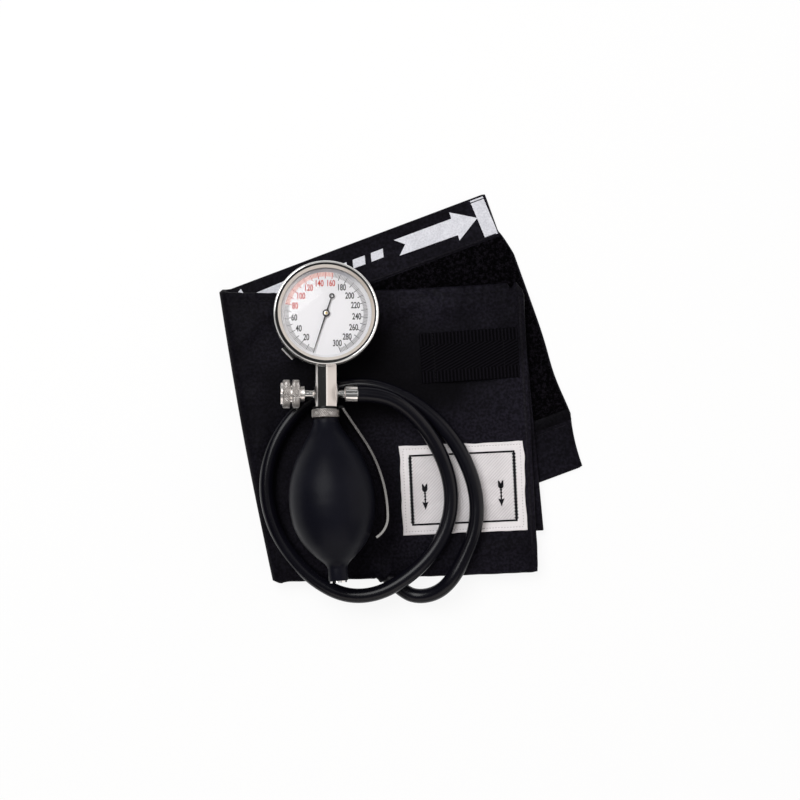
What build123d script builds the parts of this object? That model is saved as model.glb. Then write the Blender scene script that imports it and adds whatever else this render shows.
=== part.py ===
from build123d import *
import os
from math import acos, atan2, cos, degrees, pi, radians, sin, sqrt, tan

# Palm aneroid sphygmomanometer lying on its folded cuff, in millimetres.
# Row frame: +Z up, z = 0 under the lowest layer of the cuff, +Y towards the gauge,
# and the palm unit lies left of the middle, its dial facing up.

# Cuff: one straight strip of cloth, folded back on itself along a slanting line
cuff_width = 156.0
cloth = 2.4
front_low = 7.0
front_thickness = 5.0
front_length = 157.5
front_turn = 1.2
front_end_turn = 3.0
back_length = 146.0
back_turn = 19.8
fold_top = (-97.6, 58.5)
cuff_corner_r = 2.5
cuff_edge_r = 1.2
tail_corner = (77.2, -70.1)
tail_width = 128.0
tail_length = 138.0
tail_turn = 5.3
tail_thickness = 2.0
pile_band = 24.0
pile_width = 100.0
pile_start = 12.0
pile_thickness = 1.8
layer_gap = 0.3

# Rubber bladder in the front pocket, and its moulded tube
pocket_margin = 13.0
pocket_wall = 1.1
bladder_gap = 0.3
tube_place = 58.2
tube_stand = 3.4
tube_height = 8.5
tube_turn = 136.0
tube_length = 20.0
tube_sleeve_wall = 1.0
tube_sleeve_inset = 5.0

# Sewn pieces on the front panel
loop_place = (102.9, 52.9)
loop_turn = 4.0
loop_length = 52.0
loop_width = 26.4
loop_foot = 6.0
loop_cloth = 1.1
loop_rise = 1.7
label_place = (65.5, 20.7)
label_turn = 2.6
label_length = 66.5
label_width = 47.8
label_thickness = 0.4

# Hose
hose_d = 7.8
hose_bore = 3.8
hose_points = [
    (0.4, -1.6, 24.8), (12.6, -13.4, 21.4), (22.2, -29.0, 17.8), (27.6, -46.4, 16.6),
    (26.8, -64.0, 16.6), (18.8, -80.8, 16.6), (4.6, -94.6, 16.9), (-12.0, -104.0, 17.1),
    (-29.5, -104.9, 16.4), (-46.0, -96.2, 16.2), (-58.8, -82.8, 16.2), (-67.6, -67.2, 16.2),
    (-71.8, -49.8, 16.2), (-70.2, -32.0, 16.2), (-63.2, -15.6, 16.2), (-51.6, -2.2, 16.2),
    (-35.8, 6.6, 16.2), (-18.0, 8.8, 16.2), (-1.0, 3.6, 16.2), (14.4, -5.6, 16.2),
    (27.0, -18.6, 16.4), (36.2, -34.4, 16.6), (41.2, -51.6, 16.6), (40.6, -69.0, 16.6),
    (34.2, -84.6, 16.4), (27.9, -96.0, 16.3), (20.5, -103.2, 13.2), (11.0, -106.0, 9.6),
]
hose_first_run = 10.2
hose_last_run = 10.0

# Palm unit: its own frame has +Y up the stem to the gauge and +Z out of the dial
unit_origin = (-39.1, 3.2, 29.25)
unit_pitch = 6.2
unit_roll = 5.0
running_gap = 0.05
soft_gap = 0.1

# Valve block, a hexagonal bar with a ridge at the front and a port on each side
block_flats = 11.1
block_top = 15.0
block_bottom = -7.05
port_boss_d = 12.4
port_boss_height = 0.7
air_bore = 2.4
neck_d = 7.0
neck_end = 24.0
washer_thickness = 0.6
tail_d = 10.0
tail_end = -12.2

# Release valve, screwed into the left port
bush_d = 4.3
bush_end = 11.0
bush_seat = 2.0
spindle_d = 2.4
spindle_tip_d = 0.9
seal_d = 3.5
seal_thickness = 0.8
needle_length = 1.6
valve_pitch = 0.75
valve_turns = 1.5
bush_flange = 0.6
bush_flange_wall = 0.4
collar_d = 8.5
collar_length = 2.0
knob_neck = 0.6
knob_d = 15.1
knob_ring = 4.0
knob_groove = 0.95
knob_groove_d = 8.8
knob_edge = 0.6
crown_d = 12.0
crown_length = 1.0
crown_slots = 6
crown_slot = 1.1
knob_gap = 0.1

# Hose connector, screwed into the right port
nipple_thread_d = 4.3
nipple_seat = 2.5
nipple_d = 5.0
nipple_shoulder_d = 3.4
nipple_shoulder = 0.8
nipple_barb_d = 3.5
nipple_barb = 6.0
ferrule_start = 9.7
ferrule_length = 7.2
ferrule_d = 9.4
ferrule_edge = 0.7

# Bulb nut, palm spoon and the two bulb valves
spoon_thickness = 1.15
spoon_ring_d = 14.4
spoon_width = 16.0
spoon_bend = ((8.3, -7.625), (9.5, -9.8))
spoon_straight_end = (18.6, -23.4)
spoon_middle = (26.9, -39.2)
spoon_curl_start = (31.6, -65.0)
spoon_tip = (25.6, -75.6)
spoon_ring_wall = 0.8
nut_d = 14.9
nut_length = 4.45
nut_edge = 0.5
bulb_lean = 4.2
bulb_wall = 2.2
bulb_neck_r = 6.8
bulb_neck = 2.5
bulb_r = 22.6
bulb_widest_rise = 34.5
bulb_shoulder_r = 12.6
bulb_shoulder = 12.6
bulb_low_r = 16.7
bulb_low_rise = 11.9
bulb_end_r = 5.1
bulb_end_neck = 8.0
bulb_length = 85.5
outlet_d = 7.4
outlet_length = 8.0
outlet_chamber_d = 5.2
outlet_chamber = 3.0
outlet_play = 0.6
flap_d = 4.4
flap_thickness = 0.7
inlet_d = 6.4
inlet_length = 7.5
inlet_flange_d = 8.8
inlet_flange = 0.9
inlet_slots = 4
inlet_slot = 1.0
inlet_seat = 1.0
flap_seat_gap = 0.05

# Gauge, its axis crossing the stem's
case_r = 25.0
boss_rise = 0.7
case_wall = 0.8
case_gap = 0.3
cover_low = -9.5
cover_high = -6.0
cover_round = 3.2
rim_step = 1.4
rim_low = 7.2
rim_high = 11.2
shelf_low = 8.6
shelf_high = 9.4
shelf_width = 2.1
boss_d = 11.2
boss_depth = 2.7
neck_nut_d = 12.0
neck_nut_length = 2.0
neck_nut_seat = 1.9
dial_gap = 1.1
dial_thickness = 0.4
dial_hole_r = 1.2
surround_low_width = 1.9
surround_high_width = 0.5
gasket_thickness = 0.4
crystal_gap = 0.6
crystal_thickness = 1.2
crystal_dome = 1.0
bezel_side = 1.0
bezel_high = 14.2
bezel_wall = 0.5
bezel_lip_width = 2.7
bezel_groove_step = 0.7
bezel_groove = 0.35
bezel_step = 0.2
bezel_roll = 0.9
clip_angle = 224.0
clip_width = 8.0
clip_start = 4.0
clip_bend = 11.0
clip_curl = 0.2
clip_overhang = 2.2
clip_stand = 1.0
clip_thickness = 0.8

# Movement: capsule, rocking shaft, sector, pinion and pointer
base_margin = 4.5
base_thickness = 0.8
socket_width = 9.0
socket_height = 2.4
socket_wall = 1.8
capsule_margin = 5.5
capsule_rim = 0.8
capsule_gap = 0.2
capsule_space = 1.2
capsule_thickness = 3.2
capsule_ripples = 3
capsule_ripple = 0.35
stud_d = 3.0
stud_tip = 0.4
lower_plate = 3.4
plate_thickness = 0.8
upper_plate = 7.7
plate_margin = 5.5
pillar_d = 3.0
pillar_inset = 1.9
pillar_angles = (62.0, 130.0, 325.0)
plate_windows = ((0.154, -0.667), (0.41, 0.564))
plate_window_share = 0.215
lug_places = (-11.0, 4.0)
lug_width = 2.4
lug_thickness = 1.0
bridge_pad_r = 2.2
bridge_foot_r = 0.9
bridge_turn = -18.4
bridge_reach = 9.1
bridge_foot_offset = 4.3
screw_d = 1.8
screw_head = 0.5
shaft_offset = -3.0
shaft_height = 1.4
shaft_d = 1.0
shaft_overhang = 0.6
arm_reach = 3.0
arm_width = 1.4
arm_thickness = 0.6
finger_reach = 3.6
finger_width = 1.0
finger_thickness = 0.4
finger_slot = (2.4, 4.2)
gear_module = 0.3
pinion_teeth = 12
wheel_teeth = 84
sector_tooth_low = -12
sector_tooth_high = 1
pressure_angle = 30.0
backlash = 0.05
sector_thickness = 0.8
sector_low = 5.2
sector_half_angle = 30.0
sector_spoke = 8.0
sector_ring = 1.6
sector_boss_r = 1.5
sector_eye_r = 3.2
tail_eye_r = 0.8
tail_pin_r = 0.4
tail_pin = 0.8
pinion_face = 1.6
arbor_d = 0.9
sector_travel = 321.5 * pinion_teeth / wheel_teeth
sector_side = 15.1
tail_reach = 1.84
spring_low = 6.9
spring_strip = 0.15
spring_width = 0.5
spring_pitch = 1.2
spring_turns = 4
spring_start_r = 1.5
spring_stud_r = 0.45
pointer_zero = 251.8
pointer_short = 2.2
pointer_tail = 8.2
pointer_width = 0.75
pointer_tip = 0.3
pointer_ring_r = 1.4
pointer_ring_bore_r = 0.77
pointer_eye = 0.3
pointer_low = 10.7
pointer_thickness = 0.25
hub_r = 1.6
hub_collar_r = 1.0
hub_waist_r = 0.7
hub_low = 10.05
hub_edge = 0.3
hub_high = 11.55


def along(point, angle, distance):
    """The point at a distance from another, at an angle from +X in the plane."""
    return (point[0] + distance * cos(radians(angle)), point[1] + distance * sin(radians(angle)))


def deliver(piece, name, seat=Location()):
    """Carry a finished piece to its seat, label it and write its file."""
    piece.part = piece.part.moved(seat)
    piece.part.label = name
    export_step(piece.part, f"parts/{name}.step")


def disc(radius, low, high, hole=0.0, centre=(0, 0), mode=Mode.ADD):
    """A round plate about the local Z axis, with or without a hole."""
    with BuildSketch(Plane.XY.offset(low)) as round_face:
        with Locations(centre):
            Circle(radius)
            if hole > 0:
                Circle(hole, mode=Mode.SUBTRACT)
    extrude(round_face.sketch, amount=high - low, mode=mode)


def turn_on(plane, axis, outline, mode=Mode.ADD):
    """A turned form: an outline of radius and height pairs, spun about an axis."""
    with BuildSketch(plane) as half:
        with BuildLine():
            Polyline(*outline, close=True)
        make_face()
    revolve(half.sketch, axis=axis, mode=mode)


def stem_turned(outline, mode=Mode.ADD):
    """A form turned about the stem: pairs of radius and height up the stem."""
    turn_on(Plane.XY, Axis.Y, outline, mode)


def port_turned(outline, side, mode=Mode.ADD):
    """A form turned about the port axis: pairs of distance from the stem and radius."""
    turn_on(Plane.XY, Axis.X, [(side * reach, radius) for reach, radius in outline], mode)


def dial_turned(outline, mode=Mode.ADD):
    """A form turned about the gauge axis: pairs of radius and height."""
    turn_on(Plane.XZ, Axis.Z, outline, mode)


os.makedirs("parts", exist_ok=True)

# Gauge sizes that follow the case
cover_r = case_r + case_wall
rim_r = case_r + rim_step
bezel_r = rim_r + bezel_side
dial_r = case_r - dial_gap
shelf_r = dial_r - shelf_width
crystal_r = rim_r - crystal_gap
bezel_lip_r = rim_r - bezel_lip_width
bezel_groove_r = rim_r - bezel_groove_step
surround_high_r = dial_r - surround_high_width
base_r = case_r - base_margin
plate_r = case_r - plate_margin
capsule_r = base_r - capsule_margin
pointer_reach = dial_r - pointer_short
gauge_reach = block_top + washer_thickness + boss_rise + case_r

# Seats of the palm unit's own frames in the row frame
pitch, roll = radians(unit_pitch), radians(unit_roll)
stem = Location(Plane(
    origin=unit_origin,
    x_dir=(cos(roll), 0, -sin(roll)),
    z_dir=(sin(roll) * cos(pitch), sin(pitch), cos(roll) * cos(pitch)),
))
gauge = stem * Location((0, gauge_reach, 0))
nut_top = block_bottom - spoon_thickness
nut_bottom = nut_top - nut_length
bulb_seat = stem * Location((0, nut_bottom, 0), (0, 0, bulb_lean))

# Cuff cover: the back panel, the fold along its slanting side and the front pocket
front_top = front_low + front_thickness
fold_turn = (front_turn + back_turn) / 2
fold_r = front_top / 2
fold_inner_r = (front_low - cloth) / 2
fold_length = cuff_width / cos(radians((back_turn - front_turn) / 2))
fold_bottom = along(fold_top, fold_turn - 90, fold_length)
seam_top = along(fold_top, fold_turn, fold_r)
seam_bottom = along(fold_bottom, fold_turn, fold_r)
front_far_top = along(seam_top, front_turn, front_length)
front_far_bottom = along(front_far_top, front_end_turn - 90, cuff_width * 0.985)
back_far_top = along(seam_top, back_turn, back_length)
back_far_bottom = along(back_far_top, back_turn - 90, cuff_width)
pocket_low = front_low + pocket_wall
pocket_high = front_top - pocket_wall
edge_x, edge_y = front_far_bottom[0] - seam_bottom[0], front_far_bottom[1] - seam_bottom[1]
lower_edge_turn = degrees(atan2(edge_y, edge_x))
tube_end = along(along(seam_bottom, lower_edge_turn, tube_place), lower_edge_turn - 90, tube_stand)
tube_axis = Plane(
    origin=(*tube_end, tube_height),
    x_dir=(0, 0, 1),
    z_dir=(cos(radians(tube_turn)), sin(radians(tube_turn)), 0),
)


def panel(corners, low, high, round_r):
    """A layer of cloth: a plate on its corner points, with rounded corners."""
    with BuildSketch(Plane.XY.offset(low)) as layer:
        Polygon(*corners, align=None)
        fillet(layer.vertices(), round_r)
    extrude(layer.sketch, amount=high - low)


def front_outline(margin):
    """The front panel's outline, drawn in from its edges by a margin."""
    Polygon(seam_top, front_far_top, front_far_bottom, seam_bottom, align=None)
    if margin > 0:
        offset(amount=-margin, kind=Kind.INTERSECTION)


with BuildPart() as cuff_front:
    with BuildSketch(Plane.XY.offset(front_low)) as front_sketch:
        front_outline(0)
        fillet(front_sketch.vertices().sort_by(Axis.X)[-2:], cuff_corner_r)
    extrude(amount=front_thickness)
    fillet(cuff_front.faces().sort_by(Axis.Z)[-1].edges(), cuff_edge_r)

with BuildPart() as cuff_cover:
    with BuildSketch() as back_sketch:
        Polygon(seam_top, back_far_top, back_far_bottom, seam_bottom, align=None)
        fillet(back_sketch.vertices().sort_by(Axis.X)[-2:], cuff_corner_r)
    extrude(amount=cloth)
    add(cuff_front.part)
    fold_plane = Plane(
        origin=(*seam_bottom, 0),
        x_dir=(cos(radians(fold_turn)), sin(radians(fold_turn)), 0),
        z_dir=(sin(radians(fold_turn)), -cos(radians(fold_turn)), 0),
    )
    with BuildSketch(fold_plane) as fold_profile:
        with Locations((0, fold_r)):
            Circle(fold_r)
        with Locations((0, cloth + fold_inner_r)):
            Circle(fold_inner_r, mode=Mode.SUBTRACT)
        with Locations((fold_r, fold_r)):
            Rectangle(2 * fold_r, 2 * fold_r, mode=Mode.SUBTRACT)
    extrude(amount=-fold_length)
    with BuildSketch(tube_axis.offset(tube_sleeve_inset)):
        Circle(hose_d / 2 + tube_sleeve_wall)
    extrude(amount=tube_length - tube_sleeve_inset)
    with BuildSketch(Plane.XY.offset(pocket_low)):
        front_outline(pocket_margin - bladder_gap)
    extrude(amount=pocket_high - pocket_low, mode=Mode.SUBTRACT)
    with BuildSketch(tube_axis):
        Circle(hose_d / 2 + soft_gap)
    extrude(amount=tube_length + soft_gap, mode=Mode.SUBTRACT)
deliver(cuff_cover, "cuff_cover")

# Bladder: a flat rubber bag with its tube moulded on
with BuildPart() as bladder:
    with BuildSketch(Plane.XY.offset(pocket_low + bladder_gap)):
        front_outline(pocket_margin)
    extrude(amount=pocket_high - pocket_low - 2 * bladder_gap)
    with BuildSketch(tube_axis):
        Circle(hose_d / 2)
    extrude(amount=tube_length)
    with BuildSketch(tube_axis):
        Circle(hose_bore / 2)
    extrude(amount=tube_length - hose_bore, mode=Mode.SUBTRACT)
deliver(bladder, "bladder")

# Tail of the cuff, tucked between the back and the front
tail_low = cloth + pile_thickness + layer_gap
tail_top = along(tail_corner, 90 + tail_turn, tail_width)
with BuildPart() as cuff_tail:
    panel([
        tail_corner,
        tail_top,
        along(tail_top, 180 + front_turn, tail_length),
        along(tail_corner, 180 + tail_turn / 2, tail_length),
    ], tail_low, tail_low + tail_thickness, cuff_corner_r)
deliver(cuff_tail, "cuff_tail")

# Loop pile pad on the upper face of the back panel
strip_plane = Plane(
    origin=(*seam_top, cloth),
    x_dir=(cos(radians(back_turn)), sin(radians(back_turn)), 0),
    z_dir=(0, 0, 1),
)
with BuildPart() as loop_pile_pad:
    with BuildSketch(strip_plane):
        with Locations((pile_start, -pile_band)):
            Rectangle(back_length - pile_start, pile_width, align=(Align.MIN, Align.MAX))
    extrude(amount=pile_thickness)
deliver(loop_pile_pad, "loop_pile_pad")


def sewn_plane(corner, turn):
    """The upper face of the front panel, at a sewn piece's lower left corner."""
    return Plane(
        origin=(*corner, front_top),
        x_dir=(cos(radians(turn)), sin(radians(turn)), 0),
        z_dir=(0, 0, 1),
    )


# Webbing loop that holds the gauge's clip when the cuff is worn
loop_corner = along(along(seam_top, front_turn, loop_place[0]), front_turn - 90, loop_place[1])
with BuildPart() as gauge_loop:
    loop_side = sewn_plane(loop_corner, loop_turn)
    side_plane = Plane(origin=loop_side.origin, x_dir=loop_side.x_dir, z_dir=-loop_side.y_dir)
    with BuildSketch(side_plane):
        with BuildLine():
            Polyline(
                (loop_foot, 0), (0, 0), (0, loop_cloth), (loop_foot, loop_cloth)
            )
            ThreePointArc(
                (loop_foot, loop_cloth),
                (loop_length / 2, loop_cloth + loop_rise),
                (loop_length - loop_foot, loop_cloth),
            )
            Polyline(
                (loop_length - loop_foot, loop_cloth), (loop_length, loop_cloth),
                (loop_length, 0), (loop_length - loop_foot, 0),
            )
            ThreePointArc(
                (loop_length - loop_foot, 0), (loop_length / 2, loop_rise), (loop_foot, 0)
            )
        make_face()
    extrude(amount=-loop_width)
deliver(gauge_loop, "gauge_loop")

# Woven label, sewn flat
label_corner = along(
    along(seam_bottom, lower_edge_turn, label_place[0]), lower_edge_turn + 90, label_place[1])
with BuildPart() as woven_label:
    with BuildSketch(sewn_plane(label_corner, label_turn)):
        Rectangle(label_length, label_width, align=(Align.MIN, Align.MIN))
    extrude(amount=label_thickness)
deliver(woven_label, "woven_label")

# Valve block: a hexagonal bar, a shallow boss round each port, a neck for the gauge and a
# threaded tail for the nut
block_corner_r = block_flats / sqrt(3)
boss_end = block_flats / 2 + port_boss_height
outlet_seat = tail_end - outlet_length
with BuildPart() as valve_block:
    with BuildSketch(Plane.XZ.offset(-block_bottom)):
        RegularPolygon(radius=block_corner_r, side_count=6, rotation=30)
    extrude(amount=-(block_top - block_bottom))
    for side in (-1, 1):
        port_turned([
            (block_flats / 2, 0), (block_flats / 2, port_boss_d / 2),
            (boss_end, port_boss_d / 2 - 2 * port_boss_height), (boss_end, 0),
        ], side)
    stem_turned([(0, 0), (neck_d / 2, 0), (neck_d / 2, neck_end), (0, neck_end)])
    stem_turned([(0, 0), (tail_d / 2, 0), (tail_d / 2, tail_end), (0, tail_end)])
    stem_turned([(0, 1), (air_bore / 2, 1), (air_bore / 2, neck_end), (0, neck_end)], Mode.SUBTRACT)
    stem_turned([
        (0, tail_end), (outlet_chamber_d / 2, tail_end),
        (outlet_chamber_d / 2, tail_end + outlet_chamber),
        (air_bore / 2, tail_end + outlet_chamber), (air_bore / 2, 2), (0, 2),
    ], Mode.SUBTRACT)
    port_turned([
        (0, 0), (0, spindle_tip_d / 2 + running_gap), (bush_seat, spindle_tip_d / 2 + running_gap),
        (bush_seat, bush_d / 2), (boss_end, bush_d / 2), (boss_end, 0),
    ], -1, Mode.SUBTRACT)
    port_turned([
        (0, 0), (0, nipple_barb_d / 4), (nipple_seat, nipple_barb_d / 4),
        (nipple_seat, nipple_thread_d / 2), (boss_end, nipple_thread_d / 2), (boss_end, 0),
    ], 1, Mode.SUBTRACT)
deliver(valve_block, "valve_block", stem)

# Release valve: bush, sliding seal, spindle with its needle, and the two-ring knob
seal_low = bush_seat + needle_length + running_gap
seal_high = seal_low + seal_thickness
pocket_end = seal_high + valve_turns * valve_pitch + 2 * running_gap
with BuildPart() as valve_bush:
    port_turned([
        (bush_seat, 0), (bush_seat, bush_d / 2), (boss_end, bush_d / 2),
        (boss_end, bush_d / 2 + bush_flange_wall), (boss_end + bush_flange, bush_d / 2),
        (bush_end, bush_d / 2), (bush_end, 0),
    ], -1)
    port_turned([
        (bush_seat, 0), (bush_seat, seal_d / 2 + running_gap),
        (pocket_end, seal_d / 2 + running_gap), (pocket_end, spindle_d / 2 + running_gap),
        (bush_end, spindle_d / 2 + running_gap), (bush_end, 0),
    ], -1, Mode.SUBTRACT)
deliver(valve_bush, "valve_bush", stem)

collar_start = bush_end + knob_gap
knob_start = collar_start + collar_length + knob_neck
groove_start = knob_start + knob_ring
crown_start = groove_start + knob_groove + knob_ring
with BuildPart() as valve_spindle:
    needle_tip = bush_seat - needle_length / 2
    port_turned([
        (needle_tip, 0), (needle_tip, spindle_tip_d / 4), (bush_seat, spindle_tip_d / 2),
        (bush_seat + needle_length / 2, spindle_tip_d / 2),
        (bush_seat + needle_length, spindle_d / 2), (knob_start + knob_ring, spindle_d / 2),
        (knob_start + knob_ring, 0),
    ], -1)
deliver(valve_spindle, "valve_spindle", stem)

with BuildPart() as valve_seal:
    port_turned([
        (seal_low, spindle_d / 2 + running_gap / 2), (seal_low, seal_d / 2),
        (seal_high, seal_d / 2), (seal_high, spindle_d / 2 + running_gap / 2),
    ], -1)
deliver(valve_seal, "valve_seal", stem)


def knob_outline():
    """The knob from its collar out: two rings with broken edges, a groove and a crown."""
    return [
        (collar_start, spindle_d / 2), (collar_start, collar_d / 2),
        (collar_start + collar_length, collar_d / 2),
        (collar_start + collar_length, knob_groove_d / 2 - knob_neck),
        (knob_start, knob_groove_d / 2 - knob_neck), (knob_start, knob_d / 2 - knob_edge),
        (knob_start + knob_edge, knob_d / 2), (groove_start - knob_edge / 2, knob_d / 2),
        (groove_start, knob_d / 2 - knob_edge / 2), (groove_start, knob_groove_d / 2),
        (groove_start + knob_groove, knob_groove_d / 2),
        (groove_start + knob_groove, knob_d / 2 - knob_edge / 2),
        (groove_start + knob_groove + knob_edge / 2, knob_d / 2),
        (crown_start - knob_edge, knob_d / 2), (crown_start, knob_d / 2 - knob_edge),
        (crown_start, crown_d / 2), (crown_start + crown_length, crown_d / 2),
        (crown_start + crown_length, 0), (groove_start, 0), (groove_start, spindle_d / 2),
    ]


with BuildPart() as release_knob:
    port_turned(knob_outline(), -1)
    with BuildSketch(Plane.YZ.offset(-crown_start - crown_length)):
        with PolarLocations(0, crown_slots):
            with Locations((crown_d / 2, 0)):
                Rectangle(crown_d / 2, crown_slot)
    extrude(amount=crown_length, mode=Mode.SUBTRACT)
deliver(release_knob, "release_knob", stem)

# Hose connector: a nipple screwed into the right port, and the ferrule over the hose's end
ferrule_end = ferrule_start + ferrule_length
with BuildPart() as hose_nipple:
    port_turned([
        (nipple_seat, nipple_barb_d / 4), (nipple_seat, nipple_thread_d / 2),
        (boss_end, nipple_thread_d / 2), (boss_end, nipple_shoulder_d / 2),
        (boss_end + nipple_shoulder, nipple_shoulder_d / 2),
        (boss_end + nipple_shoulder, nipple_d / 2), (ferrule_start, nipple_d / 2),
        (ferrule_start + 1, nipple_barb_d / 2), (ferrule_end + nipple_barb, nipple_barb_d / 2),
        (ferrule_end + nipple_barb, nipple_barb_d / 4),
    ], 1)
deliver(hose_nipple, "hose_nipple", stem)

with BuildPart() as hose_ferrule:
    port_turned([
        (ferrule_start, nipple_d / 2), (ferrule_start, ferrule_d / 2 - ferrule_edge),
        (ferrule_start + ferrule_edge, ferrule_d / 2),
        (ferrule_end - ferrule_edge / 2, ferrule_d / 2),
        (ferrule_end, ferrule_d / 2 - ferrule_edge / 2), (ferrule_end, nipple_barb_d / 2),
        (ferrule_start + 1, nipple_barb_d / 2),
    ], 1)
deliver(hose_ferrule, "hose_ferrule", stem)

# Hose: straight runs joined by tangent arcs, from the ferrule to the bladder's tube
hose_start = (stem * Location((ferrule_end, 0, 0))).position
hose_second = (stem * Location((ferrule_end + hose_first_run, 0, 0))).position
hose_last = tube_axis.origin - tube_axis.z_dir * hose_last_run
hose_route = [hose_start, hose_second, *[Vector(*point) for point in hose_points]]
hose_route += [hose_last, tube_axis.origin]
hose_radii = []
for before, here, after in zip(hose_route, hose_route[1:], hose_route[2:]):
    turn = radians((here - before).get_angle(after - here))
    shorter = min((here - before).length, (after - here).length)
    hose_radii.append(0.45 * shorter / tan(turn / 2))
print("hose radii", [round(radius, 1) for radius in hose_radii])
with BuildPart() as hose:
    with BuildLine() as hose_path:
        FilletPolyline(*hose_route, radius=hose_radii)
    with BuildSketch(Plane(origin=hose_start, z_dir=hose_second - hose_start)):
        Circle(hose_d / 2)
        Circle(hose_bore / 2, mode=Mode.SUBTRACT)
    sweep()
hose_section = pi * (hose_d ** 2 - hose_bore ** 2) / 4
hose_length = sum(edge.length for edge in hose_path.edges())
print("hose length", round(hose_length, 1), "volume", round(hose.part.volume),
      "section times length", round(hose_section * hose_length))
deliver(hose, "hose")

# Palm spoon: a ring under the nut and a curved leaf that lies in the palm
spoon_foot = (spoon_ring_d / 2 - spoon_ring_wall, block_bottom - spoon_thickness / 2)
with BuildPart() as palm_spoon:
    with BuildSketch():
        with BuildLine():
            Polyline(spoon_foot, *spoon_bend, spoon_straight_end)
            leaf = ThreePointArc(spoon_straight_end, spoon_middle, spoon_curl_start)
            TangentArc(spoon_curl_start, spoon_tip, tangent=leaf % 1)
        trace(line_width=spoon_thickness)
    extrude(amount=spoon_width / 2, both=True)
    stem_turned([
        (tail_d / 2 + running_gap, block_bottom), (spoon_ring_d / 2, block_bottom),
        (spoon_ring_d / 2, nut_top), (tail_d / 2 + running_gap, nut_top),
    ])
deliver(palm_spoon, "palm_spoon", stem)

# Bulb nut, screwed on the block's tail over the spoon's ring
with BuildPart() as bulb_nut:
    stem_turned([
        (tail_d / 2, nut_top), (nut_d / 2 - nut_edge, nut_top), (nut_d / 2, nut_top - nut_edge),
        (nut_d / 2, nut_bottom + nut_edge), (nut_d / 2 - nut_edge, nut_bottom),
        (outlet_d / 2, nut_bottom), (outlet_d / 2, tail_end), (tail_d / 2, tail_end),
    ])
deliver(bulb_nut, "bulb_nut", stem)

# Outlet valve: a tube in the bulb's neck, and the flap that closes it
with BuildPart() as outlet_valve:
    stem_turned([
        (air_bore / 2, tail_end), (outlet_d / 2 - soft_gap, tail_end),
        (outlet_d / 2 - soft_gap, outlet_seat), (air_bore / 2, outlet_seat),
    ])
deliver(outlet_valve, "outlet_valve", stem)

with BuildPart() as outlet_flap:
    flap_low = tail_end + flap_seat_gap
    stem_turned([
        (0, flap_low), (flap_d / 2, flap_low), (flap_d / 2, flap_low + flap_thickness),
        (0, flap_low + flap_thickness),
    ])
deliver(outlet_flap, "outlet_flap", stem)


# Bulb: a hollow rubber pear with a neck at each end, leaning a little off the stem
bulb_top = -bulb_neck_r * sin(radians(bulb_lean)) - soft_gap
bulb_body_end = bulb_length - bulb_end_neck
bulb_low = bulb_body_end - bulb_low_rise
bulb_widest = bulb_body_end - bulb_widest_rise
bulb_bore_r = outlet_d / 2 + outlet_play


def bulb_skin(inset):
    """Half of the bulb's outline, drawn in from the outside by an inset."""
    with BuildSketch() as skin:
        with BuildLine():
            side_line = Spline(
                (bulb_neck_r - inset, -bulb_neck),
                (bulb_shoulder_r - inset, -bulb_shoulder),
                (bulb_r - inset, -bulb_widest),
                (bulb_low_r - inset, -bulb_low),
                (bulb_end_r - inset / 2, -bulb_body_end + inset),
                tangents=[(0.1, -1), (-1, -0.35)],
            )
            Polyline(side_line @ 1, (0, -bulb_body_end + inset), (0, -bulb_neck), side_line @ 0)
        make_face()
    return skin.sketch


with BuildPart() as bulb:
    revolve(bulb_skin(0), axis=Axis.Y)
    stem_turned([
        (0, bulb_top), (bulb_neck_r, bulb_top), (bulb_neck_r, -bulb_neck), (0, -bulb_neck),
    ])
    stem_turned([
        (0, -bulb_body_end + bulb_wall), (bulb_end_r, -bulb_body_end + bulb_wall),
        (bulb_end_r, -bulb_length), (0, -bulb_length),
    ])
    revolve(bulb_skin(bulb_wall), axis=Axis.Y, mode=Mode.SUBTRACT)
    stem_turned([
        (0, 0), (bulb_bore_r, 0), (bulb_bore_r, -2 * bulb_shoulder), (0, -2 * bulb_shoulder),
    ], Mode.SUBTRACT)
    stem_turned([
        (0, -bulb_length), (inlet_d / 2, -bulb_length), (inlet_d / 2, -bulb_low),
        (0, -bulb_low),
    ], Mode.SUBTRACT)
deliver(bulb, "bulb", bulb_seat)

# Inlet valve in the bulb's end: a body with a slotted flange, and its flap
inlet_high = -bulb_length + inlet_length
inlet_chamber_high = inlet_high - inlet_seat
inlet_chamber_low = inlet_chamber_high - outlet_chamber
inlet_end = -bulb_length - inlet_flange
with BuildPart() as inlet_valve:
    stem_turned([
        (air_bore / 2, inlet_end), (inlet_flange_d / 2, inlet_end),
        (inlet_flange_d / 2, -bulb_length), (inlet_d / 2 - running_gap, -bulb_length),
        (inlet_d / 2 - running_gap, inlet_high), (air_bore / 2, inlet_high),
        (air_bore / 2, inlet_chamber_high), (outlet_chamber_d / 2, inlet_chamber_high),
        (outlet_chamber_d / 2, inlet_chamber_low), (air_bore / 2, inlet_chamber_low),
    ])
    with BuildSketch(Plane.XZ.offset(bulb_length + inlet_flange)):
        with PolarLocations(inlet_flange_d / 2, inlet_slots):
            Rectangle(inlet_flange_d / 3, inlet_slot)
    extrude(amount=-inlet_flange / 2, mode=Mode.SUBTRACT)
deliver(inlet_valve, "inlet_valve", bulb_seat)

with BuildPart() as inlet_flap:
    inlet_flap_low = inlet_chamber_low + flap_seat_gap
    stem_turned([
        (0, inlet_flap_low), (flap_d / 2, inlet_flap_low),
        (flap_d / 2, inlet_flap_low + flap_thickness), (0, inlet_flap_low + flap_thickness),
    ])
deliver(inlet_flap, "inlet_flap", bulb_seat)

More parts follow.
